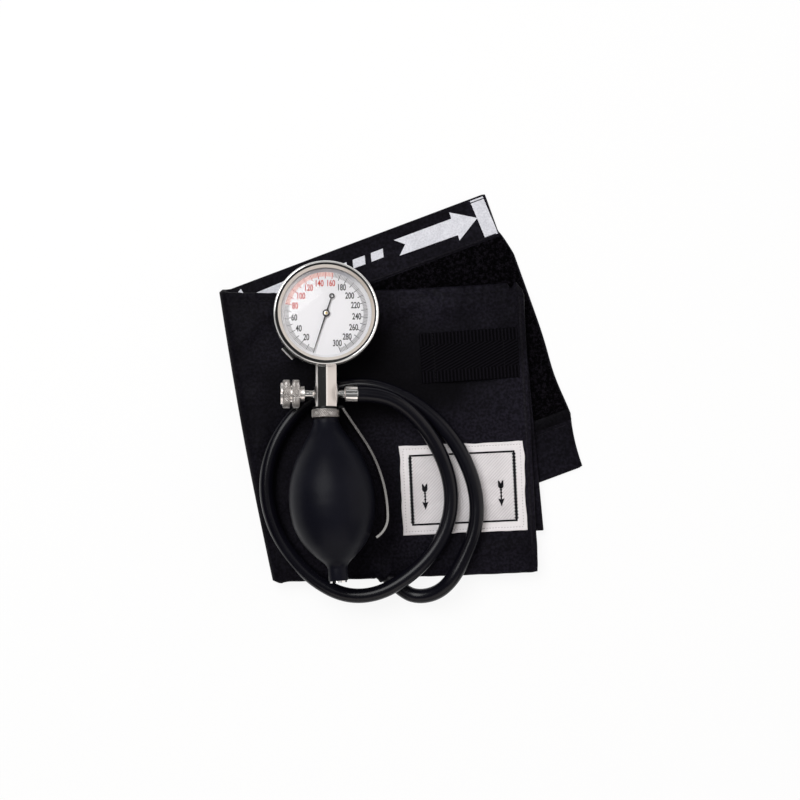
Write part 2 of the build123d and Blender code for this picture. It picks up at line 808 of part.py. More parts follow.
# Gauge case: a drawn ring with a flat boss where the neck enters
case_inner_r = case_r - case_wall
case_low = cover_high - clip_stand
case_bore_r = dial_r + case_gap
boss_face = gauge_reach - block_top - washer_thickness
nut_face = boss_face - neck_nut_seat
with BuildPart() as gauge_case:
    dial_turned([
        (case_inner_r, case_low), (case_r, case_low), (case_r, rim_low), (rim_r, rim_low),
        (rim_r, rim_high), (case_bore_r, rim_high), (case_bore_r, shelf_high),
        (shelf_r, shelf_high), (shelf_r, shelf_low), (case_inner_r, shelf_low),
    ])
    with BuildSketch(Plane.XZ.offset(boss_face)):
        Circle(boss_d / 2)
    extrude(amount=-boss_depth)
    disc(case_inner_r, -boss_d / 2 - case_wall, boss_d / 2 + case_wall, mode=Mode.SUBTRACT)
    with BuildSketch(Plane.XZ.offset(nut_face)):
        Circle(neck_nut_d / 2 + case_gap)
    extrude(amount=-boss_depth, mode=Mode.SUBTRACT)
    with BuildSketch(Plane.XZ.offset(boss_face)):
        Circle(neck_d / 2 + running_gap)
    extrude(amount=-2 * boss_depth, mode=Mode.SUBTRACT)
deliver(gauge_case, "gauge_case", gauge)

# Rear cover: a dish pressed over the back of the case
with BuildPart() as rear_cover:
    with BuildSketch(Plane.XZ):
        with BuildLine():
            Line((0, cover_low), (cover_r - cover_round, cover_low))
            TangentArc((cover_r - cover_round, cover_low), (cover_r, cover_low + cover_round),
                       tangent=(1, 0))
            Polyline(
                (cover_r, cover_low + cover_round), (cover_r, cover_high),
                (case_r + running_gap, cover_high), (case_r + running_gap, case_low),
                (case_inner_r, case_low), (cover_r - cover_round, cover_low + case_wall),
                (0, cover_low + case_wall), (0, cover_low),
            )
        make_face()
    revolve(axis=Axis.Z)
deliver(rear_cover, "rear_cover", gauge)

# Clip on the rear cover, which hooks the gauge into the cuff's webbing loop
clip_low = cover_low - clip_thickness / 2
with BuildPart() as hook_clip:
    clip_plane = Plane(
        origin=(0, 0, 0),
        x_dir=(cos(radians(clip_angle)), sin(radians(clip_angle)), 0),
        z_dir=(sin(radians(clip_angle)), -cos(radians(clip_angle)), 0),
    )
    with BuildSketch(clip_plane):
        with BuildLine():
            Polyline(
                (clip_start, clip_low), (clip_bend, clip_low),
                (clip_bend + clip_stand, clip_low - clip_stand),
                (cover_r - clip_curl - cover_round, clip_low - clip_stand),
                (cover_r - clip_curl, cover_low - clip_thickness),
                (cover_r + clip_overhang - clip_thickness, cover_low + cover_round / 2),
                (cover_r + clip_overhang, cover_low + cover_round + clip_stand),
            )
        trace(line_width=clip_thickness)
    extrude(amount=clip_width / 2, both=True)
deliver(hook_clip, "hook_clip", gauge)

# Washer between the block and the case, and the nut that holds the neck inside it
with BuildPart() as neck_washer:
    stem_turned([
        (neck_d / 2 + running_gap, block_top), (boss_d / 2, block_top),
        (boss_d / 2, block_top + washer_thickness),
        (neck_d / 2 + running_gap, block_top + washer_thickness),
    ])
deliver(neck_washer, "neck_washer", stem)

with BuildPart() as neck_nut:
    with BuildSketch(Plane.XZ.offset(nut_face)):
        RegularPolygon(radius=neck_nut_d / 2, side_count=6, rotation=30)
        Circle(neck_d / 2 + running_gap, mode=Mode.SUBTRACT)
    extrude(amount=-neck_nut_length)
deliver(neck_nut, "neck_nut", gauge)

# Base plate and air socket inside the case
base_low = cover_low + case_wall + case_gap
base_high = base_low + base_thickness
socket_high = base_high + socket_height
socket_end = gauge_reach - neck_end
with BuildPart() as base_plate:
    disc(base_r, base_low, base_high)
deliver(base_plate, "base_plate", gauge)

with BuildPart() as air_socket:
    with BuildSketch(Plane.XY.offset(base_high)):
        with Locations((0, -socket_end)):
            Rectangle(socket_width, socket_end + socket_width / 2, align=(Align.CENTER, Align.MIN))
    extrude(amount=socket_height)
    with BuildSketch(Plane.XY.offset(base_high)):
        with Locations((0, -socket_end)):
            Rectangle(socket_width, socket_wall, align=(Align.CENTER, Align.MIN))
    extrude(amount=neck_d / 2 + case_gap - base_high)
    with BuildSketch(Plane.XZ.offset(socket_end)):
        Circle(air_bore / 2)
    extrude(amount=-socket_wall / 2, mode=Mode.SUBTRACT)
deliver(air_socket, "air_socket", gauge)

# Capsule: two rippled diaphragms joined at the rim, closed round a flat air space
capsule_low = socket_high + capsule_gap
capsule_high = capsule_low + capsule_thickness
capsule_middle = (capsule_low + capsule_high) / 2


def diaphragm(direction):
    """One rippled face of the capsule, from the rim to the centre, up or down."""
    steps = 4 * capsule_ripples
    flat = direction * (capsule_thickness / 2 - capsule_ripple)
    rippled = capsule_r - capsule_rim - stud_d
    return [
        (
            capsule_r - capsule_rim - rippled * step / steps,
            capsule_middle + flat + direction * capsule_ripple * sin(pi * step / 2),
        )
        for step in range(steps + 1)
    ]


with BuildPart() as capsule:
    dial_turned([
        (0, capsule_low), *reversed(diaphragm(-1)), (capsule_r, capsule_middle - capsule_gap),
        (capsule_r, capsule_middle + capsule_gap), *diaphragm(1), (0, capsule_high),
    ])
    disc(capsule_r - 2 * capsule_rim, capsule_middle - capsule_space / 2,
         capsule_middle + capsule_space / 2, mode=Mode.SUBTRACT)
    disc(stud_d, socket_high, capsule_low + capsule_gap)
    disc(stud_d / 2 + running_gap, capsule_middle, capsule_high, mode=Mode.SUBTRACT)
deliver(capsule, "capsule", gauge)

# Stud in the middle of the capsule, which rises with the pressure
half_travel = radians(sector_travel) / 2
shaft_swing = 2 * atan2(tail_reach * sin(half_travel), finger_reach)
arm_drop = arm_reach * sin(shaft_swing / 2)
stud_top = shaft_height - arm_drop - arm_thickness / 2 - capsule_gap
with BuildPart() as capsule_stud:
    disc(stud_d / 2, capsule_middle, stud_top - stud_tip)
    disc(stud_d / 4, stud_top - stud_tip, stud_top)
deliver(capsule_stud, "capsule_stud", gauge)

# Sector and pinion places: the sector's pivot lies off the centre by the centre distance
centre_distance = gear_module * (pinion_teeth + wheel_teeth) / 2
pivot = along((0, 0), 180 + sector_side, centre_distance)
finger_x = pivot[0] - tail_reach

# Movement plates, held off the base plate by three long pillars
pillar_places = [along((0, 0), angle, plate_r - pillar_inset) for angle in pillar_angles]
window_places = [(plate_r * x, plate_r * y) for x, y in plate_windows]
with BuildPart() as movement_plate:
    with BuildSketch(Plane.XY.offset(lower_plate)):
        Circle(plate_r)
        Circle(arbor_d / 2 + running_gap, mode=Mode.SUBTRACT)
        with Locations(pivot):
            Circle(arbor_d / 2 + running_gap, mode=Mode.SUBTRACT)
        with Locations((finger_x, shaft_offset)):
            Rectangle(*finger_slot, mode=Mode.SUBTRACT)
        with Locations(*window_places):
            Circle(plate_r * plate_window_share, mode=Mode.SUBTRACT)
        with Locations((0, -plate_r)):
            Rectangle(socket_width + 2 * case_gap, 2 * (plate_r - socket_end + socket_wall + case_gap),
                      mode=Mode.SUBTRACT)
    extrude(amount=plate_thickness)
    for lug_x in lug_places:
        with BuildSketch(Plane.YZ.offset(lug_x)):
            with Locations((shaft_offset, lower_plate)):
                Rectangle(lug_width, lower_plate - shaft_height + lug_width / 2,
                          align=(Align.CENTER, Align.MAX))
            with Locations((shaft_offset, shaft_height)):
                Circle(shaft_d / 2 + running_gap, mode=Mode.SUBTRACT)
        extrude(amount=lug_thickness)
deliver(movement_plate, "movement_plate", gauge)

with BuildPart() as long_pillars:
    with BuildSketch(Plane.XY.offset(base_high)):
        with Locations(*pillar_places):
            Circle(pillar_d / 2)
    extrude(amount=lower_plate - base_high)
deliver(long_pillars, "long_pillars", gauge)

bridge_feet = [
    along(pivot, 100, bridge_foot_offset),
    along(pivot, 262, bridge_foot_offset),
    along((0, 0), bridge_turn, bridge_reach),
]
with BuildPart() as movement_bridge:
    with BuildSketch(Plane.XY.offset(upper_plate)) as bridge_face:
        with Locations(*bridge_feet, pivot, (0, 0)):
            Circle(bridge_pad_r)
        make_hull()
        Circle(arbor_d / 2 + running_gap, mode=Mode.SUBTRACT)
        with Locations(pivot):
            Circle(arbor_d / 2 + running_gap, mode=Mode.SUBTRACT)
    extrude(amount=plate_thickness)
    with BuildSketch(Plane.XY.offset(lower_plate + plate_thickness)):
        with Locations(*bridge_feet):
            Circle(bridge_foot_r)
    extrude(amount=upper_plate - lower_plate - plate_thickness)
deliver(movement_bridge, "movement_bridge", gauge)

with BuildPart() as movement_screws:
    with BuildSketch(Plane.XY.offset(upper_plate + plate_thickness)):
        with Locations(*bridge_feet):
            Circle(screw_d / 2)
    extrude(amount=screw_head)
    with BuildSketch(Plane.XY.offset(lower_plate + plate_thickness)):
        with Locations(*pillar_places):
            Circle(screw_d / 2)
    extrude(amount=screw_head)
deliver(movement_screws, "movement_screws", gauge)

# Rocking shaft: its arm rests over the stud and its finger pushes the sector's tail
shaft_low = finger_x - shaft_overhang
shaft_high = lug_places[1] + lug_thickness + shaft_overhang
with BuildPart() as rocking_shaft:
    with BuildSketch(Plane.YZ.offset(shaft_low)):
        with Locations((shaft_offset, shaft_height)):
            Circle(shaft_d / 2)
    extrude(amount=shaft_high - shaft_low)
    with Locations(Location((0, shaft_offset, shaft_height), (-degrees(shaft_swing) / 2, 0, 0))):
        Box(arm_width, arm_reach + arm_width / 2, arm_thickness,
            align=(Align.CENTER, Align.MIN, Align.CENTER))
        with Locations((finger_x, 0, 0)):
            Box(finger_width, finger_thickness, finger_reach,
                align=(Align.CENTER, Align.CENTER, Align.MIN))
deliver(rocking_shaft, "rocking_shaft", gauge)


def involute(angle):
    """The involute of an angle in radians."""
    return tan(angle) - angle


def tooth_outline(teeth):
    """One gear tooth about +X: involute flanks between the root and the tip circles."""
    pitch_r = gear_module * teeth / 2
    base_circle_r = pitch_r * cos(radians(pressure_angle))
    root_r = pitch_r - gear_module
    tip_r = pitch_r + 0.8 * gear_module
    half_at_pitch = pi / (2 * teeth) - backlash / (4 * pitch_r) + involute(radians(pressure_angle))
    flank = [(root_r - 0.1, half_at_pitch)]
    for step in range(4):
        radius = max(base_circle_r, root_r) + (tip_r - max(base_circle_r, root_r)) * step / 3
        flank.append((radius, half_at_pitch - involute(acos(min(1, base_circle_r / radius)))))
    right = [(radius * cos(-half), radius * sin(-half)) for radius, half in flank]
    left = [(radius * cos(half), radius * sin(half)) for radius, half in reversed(flank)]
    return right + left


# Sector: a toothed arc on a pierced arm, its arbor and its tail pin
sector_root_r = gear_module * (wheel_teeth / 2 - 1)
tooth_step = 360 / wheel_teeth
sector_middle = sector_side - sector_travel / 2
tail_place = along((0, 0), 180 - sector_travel / 2, tail_reach)
with BuildPart() as sector_gear:
    with BuildSketch(Plane.XY.offset(sector_low)):
        with BuildLine():
            root_arc = CenterArc((0, 0), sector_root_r, sector_middle - sector_half_angle,
                                 2 * sector_half_angle)
            Polyline(root_arc @ 0, (0, 0), root_arc @ 1)
        make_face()
        with BuildLine():
            window_half = sector_half_angle - sector_spoke
            far_arc = CenterArc((0, 0), sector_root_r - sector_ring, sector_middle - window_half,
                                2 * window_half)
            near_arc = CenterArc((0, 0), sector_eye_r, sector_middle - window_half / 2, window_half)
            Line(far_arc @ 0, near_arc @ 0)
            Line(far_arc @ 1, near_arc @ 1)
        make_face(mode=Mode.SUBTRACT)
        Circle(sector_boss_r)
        for tooth in range(sector_tooth_low, sector_tooth_high + 1):
            with Locations(Location((0, 0, 0), (0, 0, sector_side + tooth * tooth_step))):
                Polygon(*tooth_outline(wheel_teeth), align=None)
        with Locations(tail_place):
            Circle(tail_eye_r)
    extrude(amount=sector_thickness)
    disc(arbor_d / 2, lower_plate, upper_plate + plate_thickness)
    disc(tail_pin_r, sector_low - tail_pin, sector_low, centre=tail_place)
deliver(sector_gear, "sector_gear", gauge * Location((*pivot, 0)))

# Pinion on its arbor, with the hairspring's collet
with BuildPart() as pinion_arbor:
    with BuildSketch(Plane.XY.offset(sector_low - (pinion_face - sector_thickness) / 2)):
        Circle(gear_module * (pinion_teeth / 2 - 1))
        for tooth in range(pinion_teeth):
            tooth_turn = 180 + sector_side + (tooth + 0.5) * 360 / pinion_teeth
            with Locations(Location((0, 0, 0), (0, 0, tooth_turn))):
                Polygon(*tooth_outline(pinion_teeth), align=None)
    extrude(amount=pinion_face)
    disc(arbor_d / 2, lower_plate, hub_high - hub_edge)
    disc(spring_start_r - spring_strip, spring_low, spring_low + spring_width)
deliver(pinion_arbor, "pinion_arbor", gauge)

# Hairspring: a flat spiral of half turns, and the stud that holds its outer end
spring_end = spring_start_r + spring_turns * spring_pitch
spring_plane = Plane(
    origin=(0, 0, spring_low),
    x_dir=(cos(radians(bridge_turn)), sin(radians(bridge_turn)), 0),
    z_dir=(0, 0, 1),
)
with BuildPart() as hairspring:
    with BuildSketch(spring_plane):
        with BuildLine():
            for half_turn in range(2 * spring_turns):
                lower_half = half_turn % 2
                CenterArc(
                    (lower_half * spring_pitch / 2, 0),
                    spring_start_r + half_turn * spring_pitch / 2,
                    180 * lower_half,
                    180,
                )
        trace(line_width=spring_strip)
    extrude(amount=spring_width)
deliver(hairspring, "hairspring", gauge)

stud_place = along((0, 0), bridge_turn, spring_end + spring_strip / 2 + spring_stud_r)
with BuildPart() as hairspring_stud:
    disc(spring_stud_r, spring_low, upper_plate, centre=stud_place)
deliver(hairspring_stud, "hairspring_stud", gauge)

# Dial, the pale surround that slopes up from it, and the pointer
with BuildPart() as dial_plate:
    disc(dial_r, shelf_high, shelf_high + dial_thickness, dial_hole_r)
deliver(dial_plate, "dial_plate", gauge)

dial_face = shelf_high + dial_thickness
with BuildPart() as dial_surround:
    dial_turned([
        (dial_r - surround_low_width, dial_face), (dial_r, dial_face), (dial_r, rim_high),
        (surround_high_r, rim_high),
    ])
deliver(dial_surround, "dial_surround", gauge)

with BuildPart() as pointer:
    with BuildSketch(Plane.XY.offset(pointer_low)):
        with Locations(Location((0, 0, 0), (0, 0, pointer_zero))):
            Polygon(
                (-pointer_tail - pointer_ring_r / 4, -pointer_width / 3),
                (0, -pointer_width / 2), (pointer_reach, -pointer_tip / 2),
                (pointer_reach, pointer_tip / 2), (0, pointer_width / 2),
                (-pointer_tail - pointer_ring_r / 4, pointer_width / 3), align=None,
            )
            Circle(hub_r + pointer_eye)
        with Locations(along((0, 0), pointer_zero + 180, pointer_tail + pointer_ring_r)):
            Circle(pointer_ring_r)
            Circle(pointer_ring_bore_r, mode=Mode.SUBTRACT)
        Circle(hub_waist_r, mode=Mode.SUBTRACT)
    extrude(amount=pointer_thickness)
deliver(pointer, "pointer", gauge)

pointer_high = pointer_low + pointer_thickness
with BuildPart() as pointer_hub:
    dial_turned([
        (arbor_d / 2, hub_low), (hub_collar_r, hub_low), (hub_collar_r, pointer_low),
        (hub_waist_r, pointer_low), (hub_waist_r, pointer_high), (hub_r, pointer_high),
        (hub_r, hub_high - hub_edge), (arbor_d / 2, hub_high),
    ])
deliver(pointer_hub, "pointer_hub", gauge)

# Crystal on its gasket, held down by the bezel
crystal_low = rim_high + gasket_thickness
crystal_high = crystal_low + crystal_thickness
with BuildPart() as crystal_gasket:
    disc(rim_r - case_gap, rim_high, crystal_low, case_bore_r)
deliver(crystal_gasket, "crystal_gasket", gauge)

with BuildPart() as crystal:
    with BuildSketch(Plane.XZ):
        with BuildLine():
            TangentArc((0, crystal_low + crystal_dome), (surround_high_r, crystal_low),
                       tangent=(1, 0))
            Polyline(
                (surround_high_r, crystal_low), (crystal_r, crystal_low),
                (crystal_r, crystal_high), (bezel_lip_r, crystal_high),
            )
            TangentArc((0, crystal_high + crystal_dome), (bezel_lip_r, crystal_high),
                       tangent=(1, 0))
            Line((0, crystal_high + crystal_dome), (0, crystal_low + crystal_dome))
        make_face()
    revolve(axis=Axis.Z)
deliver(crystal, "crystal", gauge)

# Bezel: a polished ring rolled under the rim, with a groove round its top
bezel_bore_r = rim_r + running_gap
groove_inner_r = bezel_groove_r - bezel_groove
with BuildPart() as bezel_ring:
    with BuildSketch(Plane.XZ):
        with BuildLine():
            Line((bezel_r, rim_low - running_gap - bezel_wall), (bezel_r, bezel_high - bezel_roll))
            TangentArc((bezel_r, bezel_high - bezel_roll), (bezel_r - bezel_roll, bezel_high),
                       tangent=(0, 1))
            Polyline(
                (bezel_r - bezel_roll, bezel_high), (bezel_groove_r, bezel_high - bezel_step),
                (bezel_groove_r, bezel_high - 3 * bezel_step),
                (groove_inner_r, bezel_high - 3 * bezel_step),
                (groove_inner_r, bezel_high - bezel_step),
                (bezel_lip_r, crystal_high + bezel_wall), (bezel_lip_r, crystal_high),
                (bezel_bore_r, crystal_high), (bezel_bore_r, rim_low - running_gap),
                (case_r + running_gap, rim_low - running_gap),
                (case_r + running_gap, rim_low - running_gap - bezel_wall),
                (bezel_r, rim_low - running_gap - bezel_wall),
            )
        make_face()
    revolve(axis=Axis.Z)
deliver(bezel_ring, "bezel_ring", gauge)
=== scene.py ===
import random
from math import ceil, cos, exp, floor, hypot, pi, radians, sin, sqrt

import bmesh
import bpy
from mathutils import Matrix, Vector, noise
from mathutils.geometry import delaunay_2d_cdt


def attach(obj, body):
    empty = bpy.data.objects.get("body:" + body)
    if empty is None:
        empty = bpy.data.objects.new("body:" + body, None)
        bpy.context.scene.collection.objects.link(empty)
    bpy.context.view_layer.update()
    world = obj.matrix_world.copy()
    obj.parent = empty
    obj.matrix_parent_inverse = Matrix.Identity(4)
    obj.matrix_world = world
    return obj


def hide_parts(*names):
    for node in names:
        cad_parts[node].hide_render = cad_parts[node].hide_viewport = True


# Looks of a palm aneroid sphygmomanometer lying on its folded cuff. Pieces are worked out in
# millimetres, in the frames that the model is built in, and made in metres.
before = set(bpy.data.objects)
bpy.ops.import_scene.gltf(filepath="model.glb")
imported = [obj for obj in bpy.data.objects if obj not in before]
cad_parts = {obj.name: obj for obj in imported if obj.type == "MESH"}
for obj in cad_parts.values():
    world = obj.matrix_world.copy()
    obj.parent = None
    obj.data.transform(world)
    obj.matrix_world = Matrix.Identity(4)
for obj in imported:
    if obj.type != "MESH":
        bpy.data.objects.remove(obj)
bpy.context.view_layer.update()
scene = bpy.context.scene
scene.view_settings.view_transform = "Standard"

MM = 0.001
ROOT = "cuff_and_unit"

# Pitch of the yarns in the cloth, and in thread and ribbon
YARN, THREAD = 0.55, 0.42

# Camera, straight above the cuff
CAMERA_HEIGHT = 0.910
CAMERA_LENS = 75.33

camera_data = bpy.data.cameras.new("camera")
camera_data.sensor_width = 36
camera_data.lens = CAMERA_LENS
camera = bpy.data.objects.new("camera", camera_data)
camera.location = (0, 0, CAMERA_HEIGHT)
scene.collection.objects.link(camera)
scene.camera = camera

# The palm unit's own frames: +Y up the stem, +Z out of the dial
UNIT_ORIGIN = (-39.1, 3.2, 29.25)
UNIT_PITCH = 6.2
UNIT_ROLL = 5.0
GAUGE_REACH = 41.3
NUT_TOP = -8.2
NUT_BOTTOM = -12.65
BULB_LEAN = 4.2

pitch, roll = radians(UNIT_PITCH), radians(UNIT_ROLL)
stem_x = Vector((cos(roll), 0, -sin(roll)))
stem_z = Vector((sin(roll) * cos(pitch), sin(pitch), cos(roll) * cos(pitch)))
stem_axes = Matrix((stem_x, stem_z.cross(stem_x), stem_z)).transposed().to_4x4()
STEM = Matrix.Translation(UNIT_ORIGIN) @ stem_axes
GAUGE = STEM @ Matrix.Translation((0, GAUGE_REACH, 0))
BULB = STEM @ Matrix.Translation((0, NUT_BOTTOM, 0)) @ Matrix.Rotation(radians(BULB_LEAN), 4, "Z")
UP_THE_STEM = Matrix.Rotation(radians(-90), 4, "X")
OUT_TO_THE_LEFT = Matrix.Rotation(radians(-90), 4, "Y")

# Hose: the route of the model's tube
HOSE_D = 7.8
HOSE_START = 16.9
HOSE_FIRST_RUN = 10.2
HOSE_LAST_RUN = 10.0
TUBE_END = Vector((-4.6, -97.0, 8.5))
TUBE_TURN = 136.0
HOSE_POINTS = [
    (0.4, -1.6, 24.8), (12.6, -13.4, 21.4), (22.2, -29.0, 17.8), (27.6, -46.4, 16.6),
    (26.8, -64.0, 16.6), (18.8, -80.8, 16.6), (4.6, -94.6, 16.9), (-12.0, -104.0, 17.1),
    (-29.5, -104.9, 16.4), (-46.0, -96.2, 16.2), (-58.8, -82.8, 16.2), (-67.6, -67.2, 16.2),
    (-71.8, -49.8, 16.2), (-70.2, -32.0, 16.2), (-63.2, -15.6, 16.2), (-51.6, -2.2, 16.2),
    (-35.8, 6.6, 16.2), (-18.0, 8.8, 16.2), (-1.0, 3.6, 16.2), (14.4, -5.6, 16.2),
    (27.0, -18.6, 16.4), (36.2, -34.4, 16.6), (41.2, -51.6, 16.6), (40.6, -69.0, 16.6),
    (34.2, -84.6, 16.4), (27.9, -96.0, 16.3), (20.5, -103.2, 13.2), (11.0, -106.0, 9.6),
]
tube_way = Vector((cos(radians(TUBE_TURN)), sin(radians(TUBE_TURN)), 0))
hose_route = [
    STEM @ Vector((HOSE_START, 0, 0)), STEM @ Vector((HOSE_START + HOSE_FIRST_RUN, 0, 0)),
    *map(Vector, HOSE_POINTS), TUBE_END - tube_way * HOSE_LAST_RUN, TUBE_END,
]


class Socket:
    """A node's output that takes part in sums: every sum adds its Math node."""

    def __init__(self, finish, port):
        self.finish, self.port = finish, port

    def maths(self, operation, first, second=0.0):
        return self.finish.node("Math", {0: first, 1: second}, {"operation": operation})

    def __add__(self, other):
        return self.maths("ADD", self, other)

    def __sub__(self, other):
        return self.maths("SUBTRACT", self, other)

    def __rsub__(self, other):
        return self.maths("SUBTRACT", other, self)

    def __mul__(self, other):
        return self.maths("MULTIPLY", self, other)

    def __truediv__(self, other):
        return self.maths("DIVIDE", self, other)

    def __pow__(self, other):
        return self.maths("POWER", self, other)

    def least(self, other):
        return self.maths("MINIMUM", self, other)

    def waves(self, pitch):
        """From 0 to 1 and back, once for each pitch in millimetres."""
        return self.maths("SINE", self * (2 * pi / (pitch * MM))) * 0.5 + 0.5

    def step(self, low, high):
        """0 below one value, 1 above the other, and smooth between."""
        return self.finish.node("MapRange", {"Value": self, "From Min": low, "From Max": high},
                                {"interpolation_type": "SMOOTHSTEP"})

    def past(self, low, high):
        """The same step between two distances in millimetres."""
        return self.step(low * MM, high * MM)


def opaque(colour):
    """A plain colour with its alpha. A linked one stays as it is."""
    return (*colour, 1) if isinstance(colour, tuple) else colour


def dimmed(colour, share):
    """A share of a plain colour."""
    return tuple(share * value for value in colour)


class Finish:
    """A material, or the world, being mixed. Every node of it is added by node().

    Its place is where a point is, in metres: turned about the vertical, or in a piece's own
    frame. x, y and z are the place's numbers.
    """

    def __init__(self, name, seat=None, turn=0.0, kind="Material"):
        self.kind = kind
        store = bpy.data.worlds if kind == "World" else bpy.data.materials
        self.material = store.new(name)
        self.material.use_nodes = True
        self.tree = self.material.node_tree
        self.tree.nodes.clear()
        spot = self.node("TexCoord", output="Object" if kind == "Material" else "Generated")
        if seat is None:
            self.place = self.node("Mapping", {"Vector": spot, "Rotation": (0, 0, radians(turn))})
        else:
            self.place = self.node(
                "Mapping", {"Vector": spot, "Location": seat.translation * MM,
                            "Rotation": seat.to_euler()}, {"vector_type": "TEXTURE"})
        ports = self.node("SeparateXYZ", {"Vector": self.place}).port.node.outputs
        self.x, self.y, self.z = (Socket(self, ports[axis]) for axis in "XYZ")

    def node(self, kind, sockets=None, settings=None, output=0):
        """Add a node: its settings first, then the values and links of its sockets."""
        made = self.tree.nodes.new("ShaderNode" + kind)
        for setting, value in (settings or {}).items():
            setattr(made, setting, value)
        for name, value in (sockets or {}).items():
            if isinstance(value, Socket):
                self.tree.links.new(value.port, made.inputs[name])
            elif value is not None:
                made.inputs[name].default_value = value
        return Socket(self, made.outputs[output])

    def from_axis(self):
        """A point's distance from the axis of its frame."""
        return (self.x * self.x + self.y * self.y) ** 0.5

    def cloud(self, size, detail=2.0):
        """Soft noise whose blobs are about as large as a size in millimetres."""
        return self.node("TexNoise", {
            "Vector": self.place, "Scale": 1000 / size, "Detail": detail})

    def shade(self, factor, first, second):
        """A colour between two."""
        return self.node("Mix", {0: factor, 6: opaque(first), 7: opaque(second)},
                         {"data_type": "RGBA"}, 2)

    def relief(self, height, distance, strength, under=None):
        """A bump whose full height is a distance in millimetres."""
        return self.node("Bump", {"Height": height, "Distance": distance * MM,
                                  "Strength": strength, "Normal": under})

    def surface(self, shader):
        """End the material with a shader, and give the material."""
        end = self.tree.nodes.new("ShaderNodeOutput" + self.kind)
        self.tree.links.new(shader.port, end.inputs["Surface"])
        return self.material

    def coat(self, base, rough, bump=None, shine=0.5, metallic=0.0):
        """End the material with the usual shader."""
        return self.surface(self.node("BsdfPrincipled", {
            "Base Color": opaque(base), "Roughness": rough, "Normal": bump,
            "Specular IOR Level": shine, "Metallic": metallic}))


def nylon_cloth(name, deep, lit, turn):
    """Coated cloth: a fine plain weave, with painted sheen in soft patches, and painted shade
    deepest in its middle and towards the fold.
    """
    cloth = Finish(name, turn=turn)
    x, y = cloth.x, cloth.y
    # Soft patches of painted sheen, which are also a little shinier
    painted_sheen_patches = cloth.cloud(42, 3.0).step(0.40, 0.68)
    speckle = cloth.cloud(1.5).step(0.32, 0.72)
    (middle_x, middle_y), (wide, high) = PAINTED_SHADE_MIDDLE, PAINTED_SHADE_SIZE
    from_middle = (((x - middle_x * MM) / (wide * MM)) ** 2
                   + ((y - middle_y * MM) / (high * MM)) ** 2)
    # Painted shade: the colour is darkened round a middle spot and towards the fold
    painted_shade = (from_middle + painted_sheen_patches * 0.5).step(0.35, 1.6) * 0.8 + 0.2
    painted_shade = painted_shade * (x.past(-98, -35) * 0.55 + 0.45)
    colour = cloth.shade((painted_sheen_patches * 0.5 + 0.5) * (speckle * 0.7 + 0.3) * painted_shade, deep, lit)
    bump = cloth.relief(x.waves(YARN) * y.waves(YARN), 0.05, 0.4)
    bump = cloth.relief(speckle, 0.06, 0.5, bump)
    bump = cloth.relief(cloth.cloud(9), 0.5, 0.35, bump)
    return cloth.coat(colour, painted_sheen_patches * -0.1 + 0.6, bump, 0.04)


def brushed_pile(name, deep, lit):
    """Loop pile: dark tufts with a few loops that catch the light."""
    pile = Finish(name)
    tufts, loops = pile.cloud(1.8, 4.0), pile.cloud(0.8, 3.0)
    colour = pile.shade((tufts * 0.6 + loops * 0.4).step(0.44, 0.66), deep, lit)
    return pile.coat(colour, 0.95, pile.relief(tufts + loops * 0.5, 0.8, 0.9), 0.03)


def ribbed_webbing():
    """Woven tape with painted light: lighter on its ribs and its twill lines, which are geometry
    too, and painted shade between them.
    """
    tape = Finish("ribbed_webbing", loop_seat)
    x, y = tape.x, tape.y
    ribbed = 1 - y.least(LOOP_WIDTH * MM - y).past(LOOP_RIB - 0.3, LOOP_RIB)
    twill = (y - x * TWILL_SLOPE).waves(TWILL_PITCH)
    raised = (ribbed * x.waves(RIB_PITCH) + (1 - ribbed) * twill).step(0.2, 0.95)
    lint, yarns = tape.cloud(1.1, 3.0), (x + y * 0.6).waves(YARN)
    # Painted light: the ribs and twill lines are lighter, and the hollows between them are darker
    colour = tape.shade(raised * 0.7 + lint * 0.3, (0.0003, 0.0002, 0.0004),
                        (0.0062, 0.0054, 0.0080))
    return tape.coat(colour, 0.75, tape.relief(yarns * 0.6 + lint * 0.4, 0.08, 0.6), 0.03)


def label_satin():
    """White ribbon: flat yarns in its border, and fine twill lines inside the frame."""
    satin = Finish("label_satin", label_seat)
    x, y, inner = satin.x, satin.y, (FRAME_IN + FRAME_LINE) * MM
    inside = (x - inner).least((LABEL_LENGTH * MM - inner) - x)
    inside = inside.least((y - inner).least((LABEL_WIDTH * MM - inner) - y)).past(0, 0.3)
    yarns, lint = y.waves(THREAD), satin.cloud(2.2, 3.0)
    twill = (x - y).waves(LABEL_TWILL).step(0.55, 0.95)
    handled = satin.cloud(22).step(0.35, 0.75)
    grey = yarns * 0.10 + lint * 0.16 + inside * (twill * 0.26 + handled * 0.24 + 0.08)
    return satin.coat(satin.shade(grey, (0.92, 0.885, 0.90), (0.38, 0.355, 0.37)), 0.5,
                      satin.relief(yarns, 0.05, 0.5), 0.3)


def woven_thread(name, pale, shade, rough):
    """Sewing or weaving thread: fine yarns of one colour."""
    thread = Finish(name, turn=LABEL_TURN)
    yarns, lint = thread.y.waves(THREAD), thread.cloud(2.2, 3.0)
    return thread.coat(thread.shade(yarns * 0.35 + lint * 0.65, shade, pale), rough,
                       thread.relief(yarns, 0.05, 0.5), 0.15)


def screen_print():
    """Silver print on cloth, speckled by the weave under it."""
    ink = Finish("silver_print")
    speckle, worn = ink.cloud(0.9).step(0.3, 0.7), ink.cloud(5, 3.0).step(0.3, 0.75)
    colour = ink.shade(speckle * 0.6 + worn * 0.4, (0.59, 0.595, 0.65), (0.81, 0.82, 0.875))
    return ink.coat(colour, 0.5, ink.relief(speckle, 0.04, 0.5))


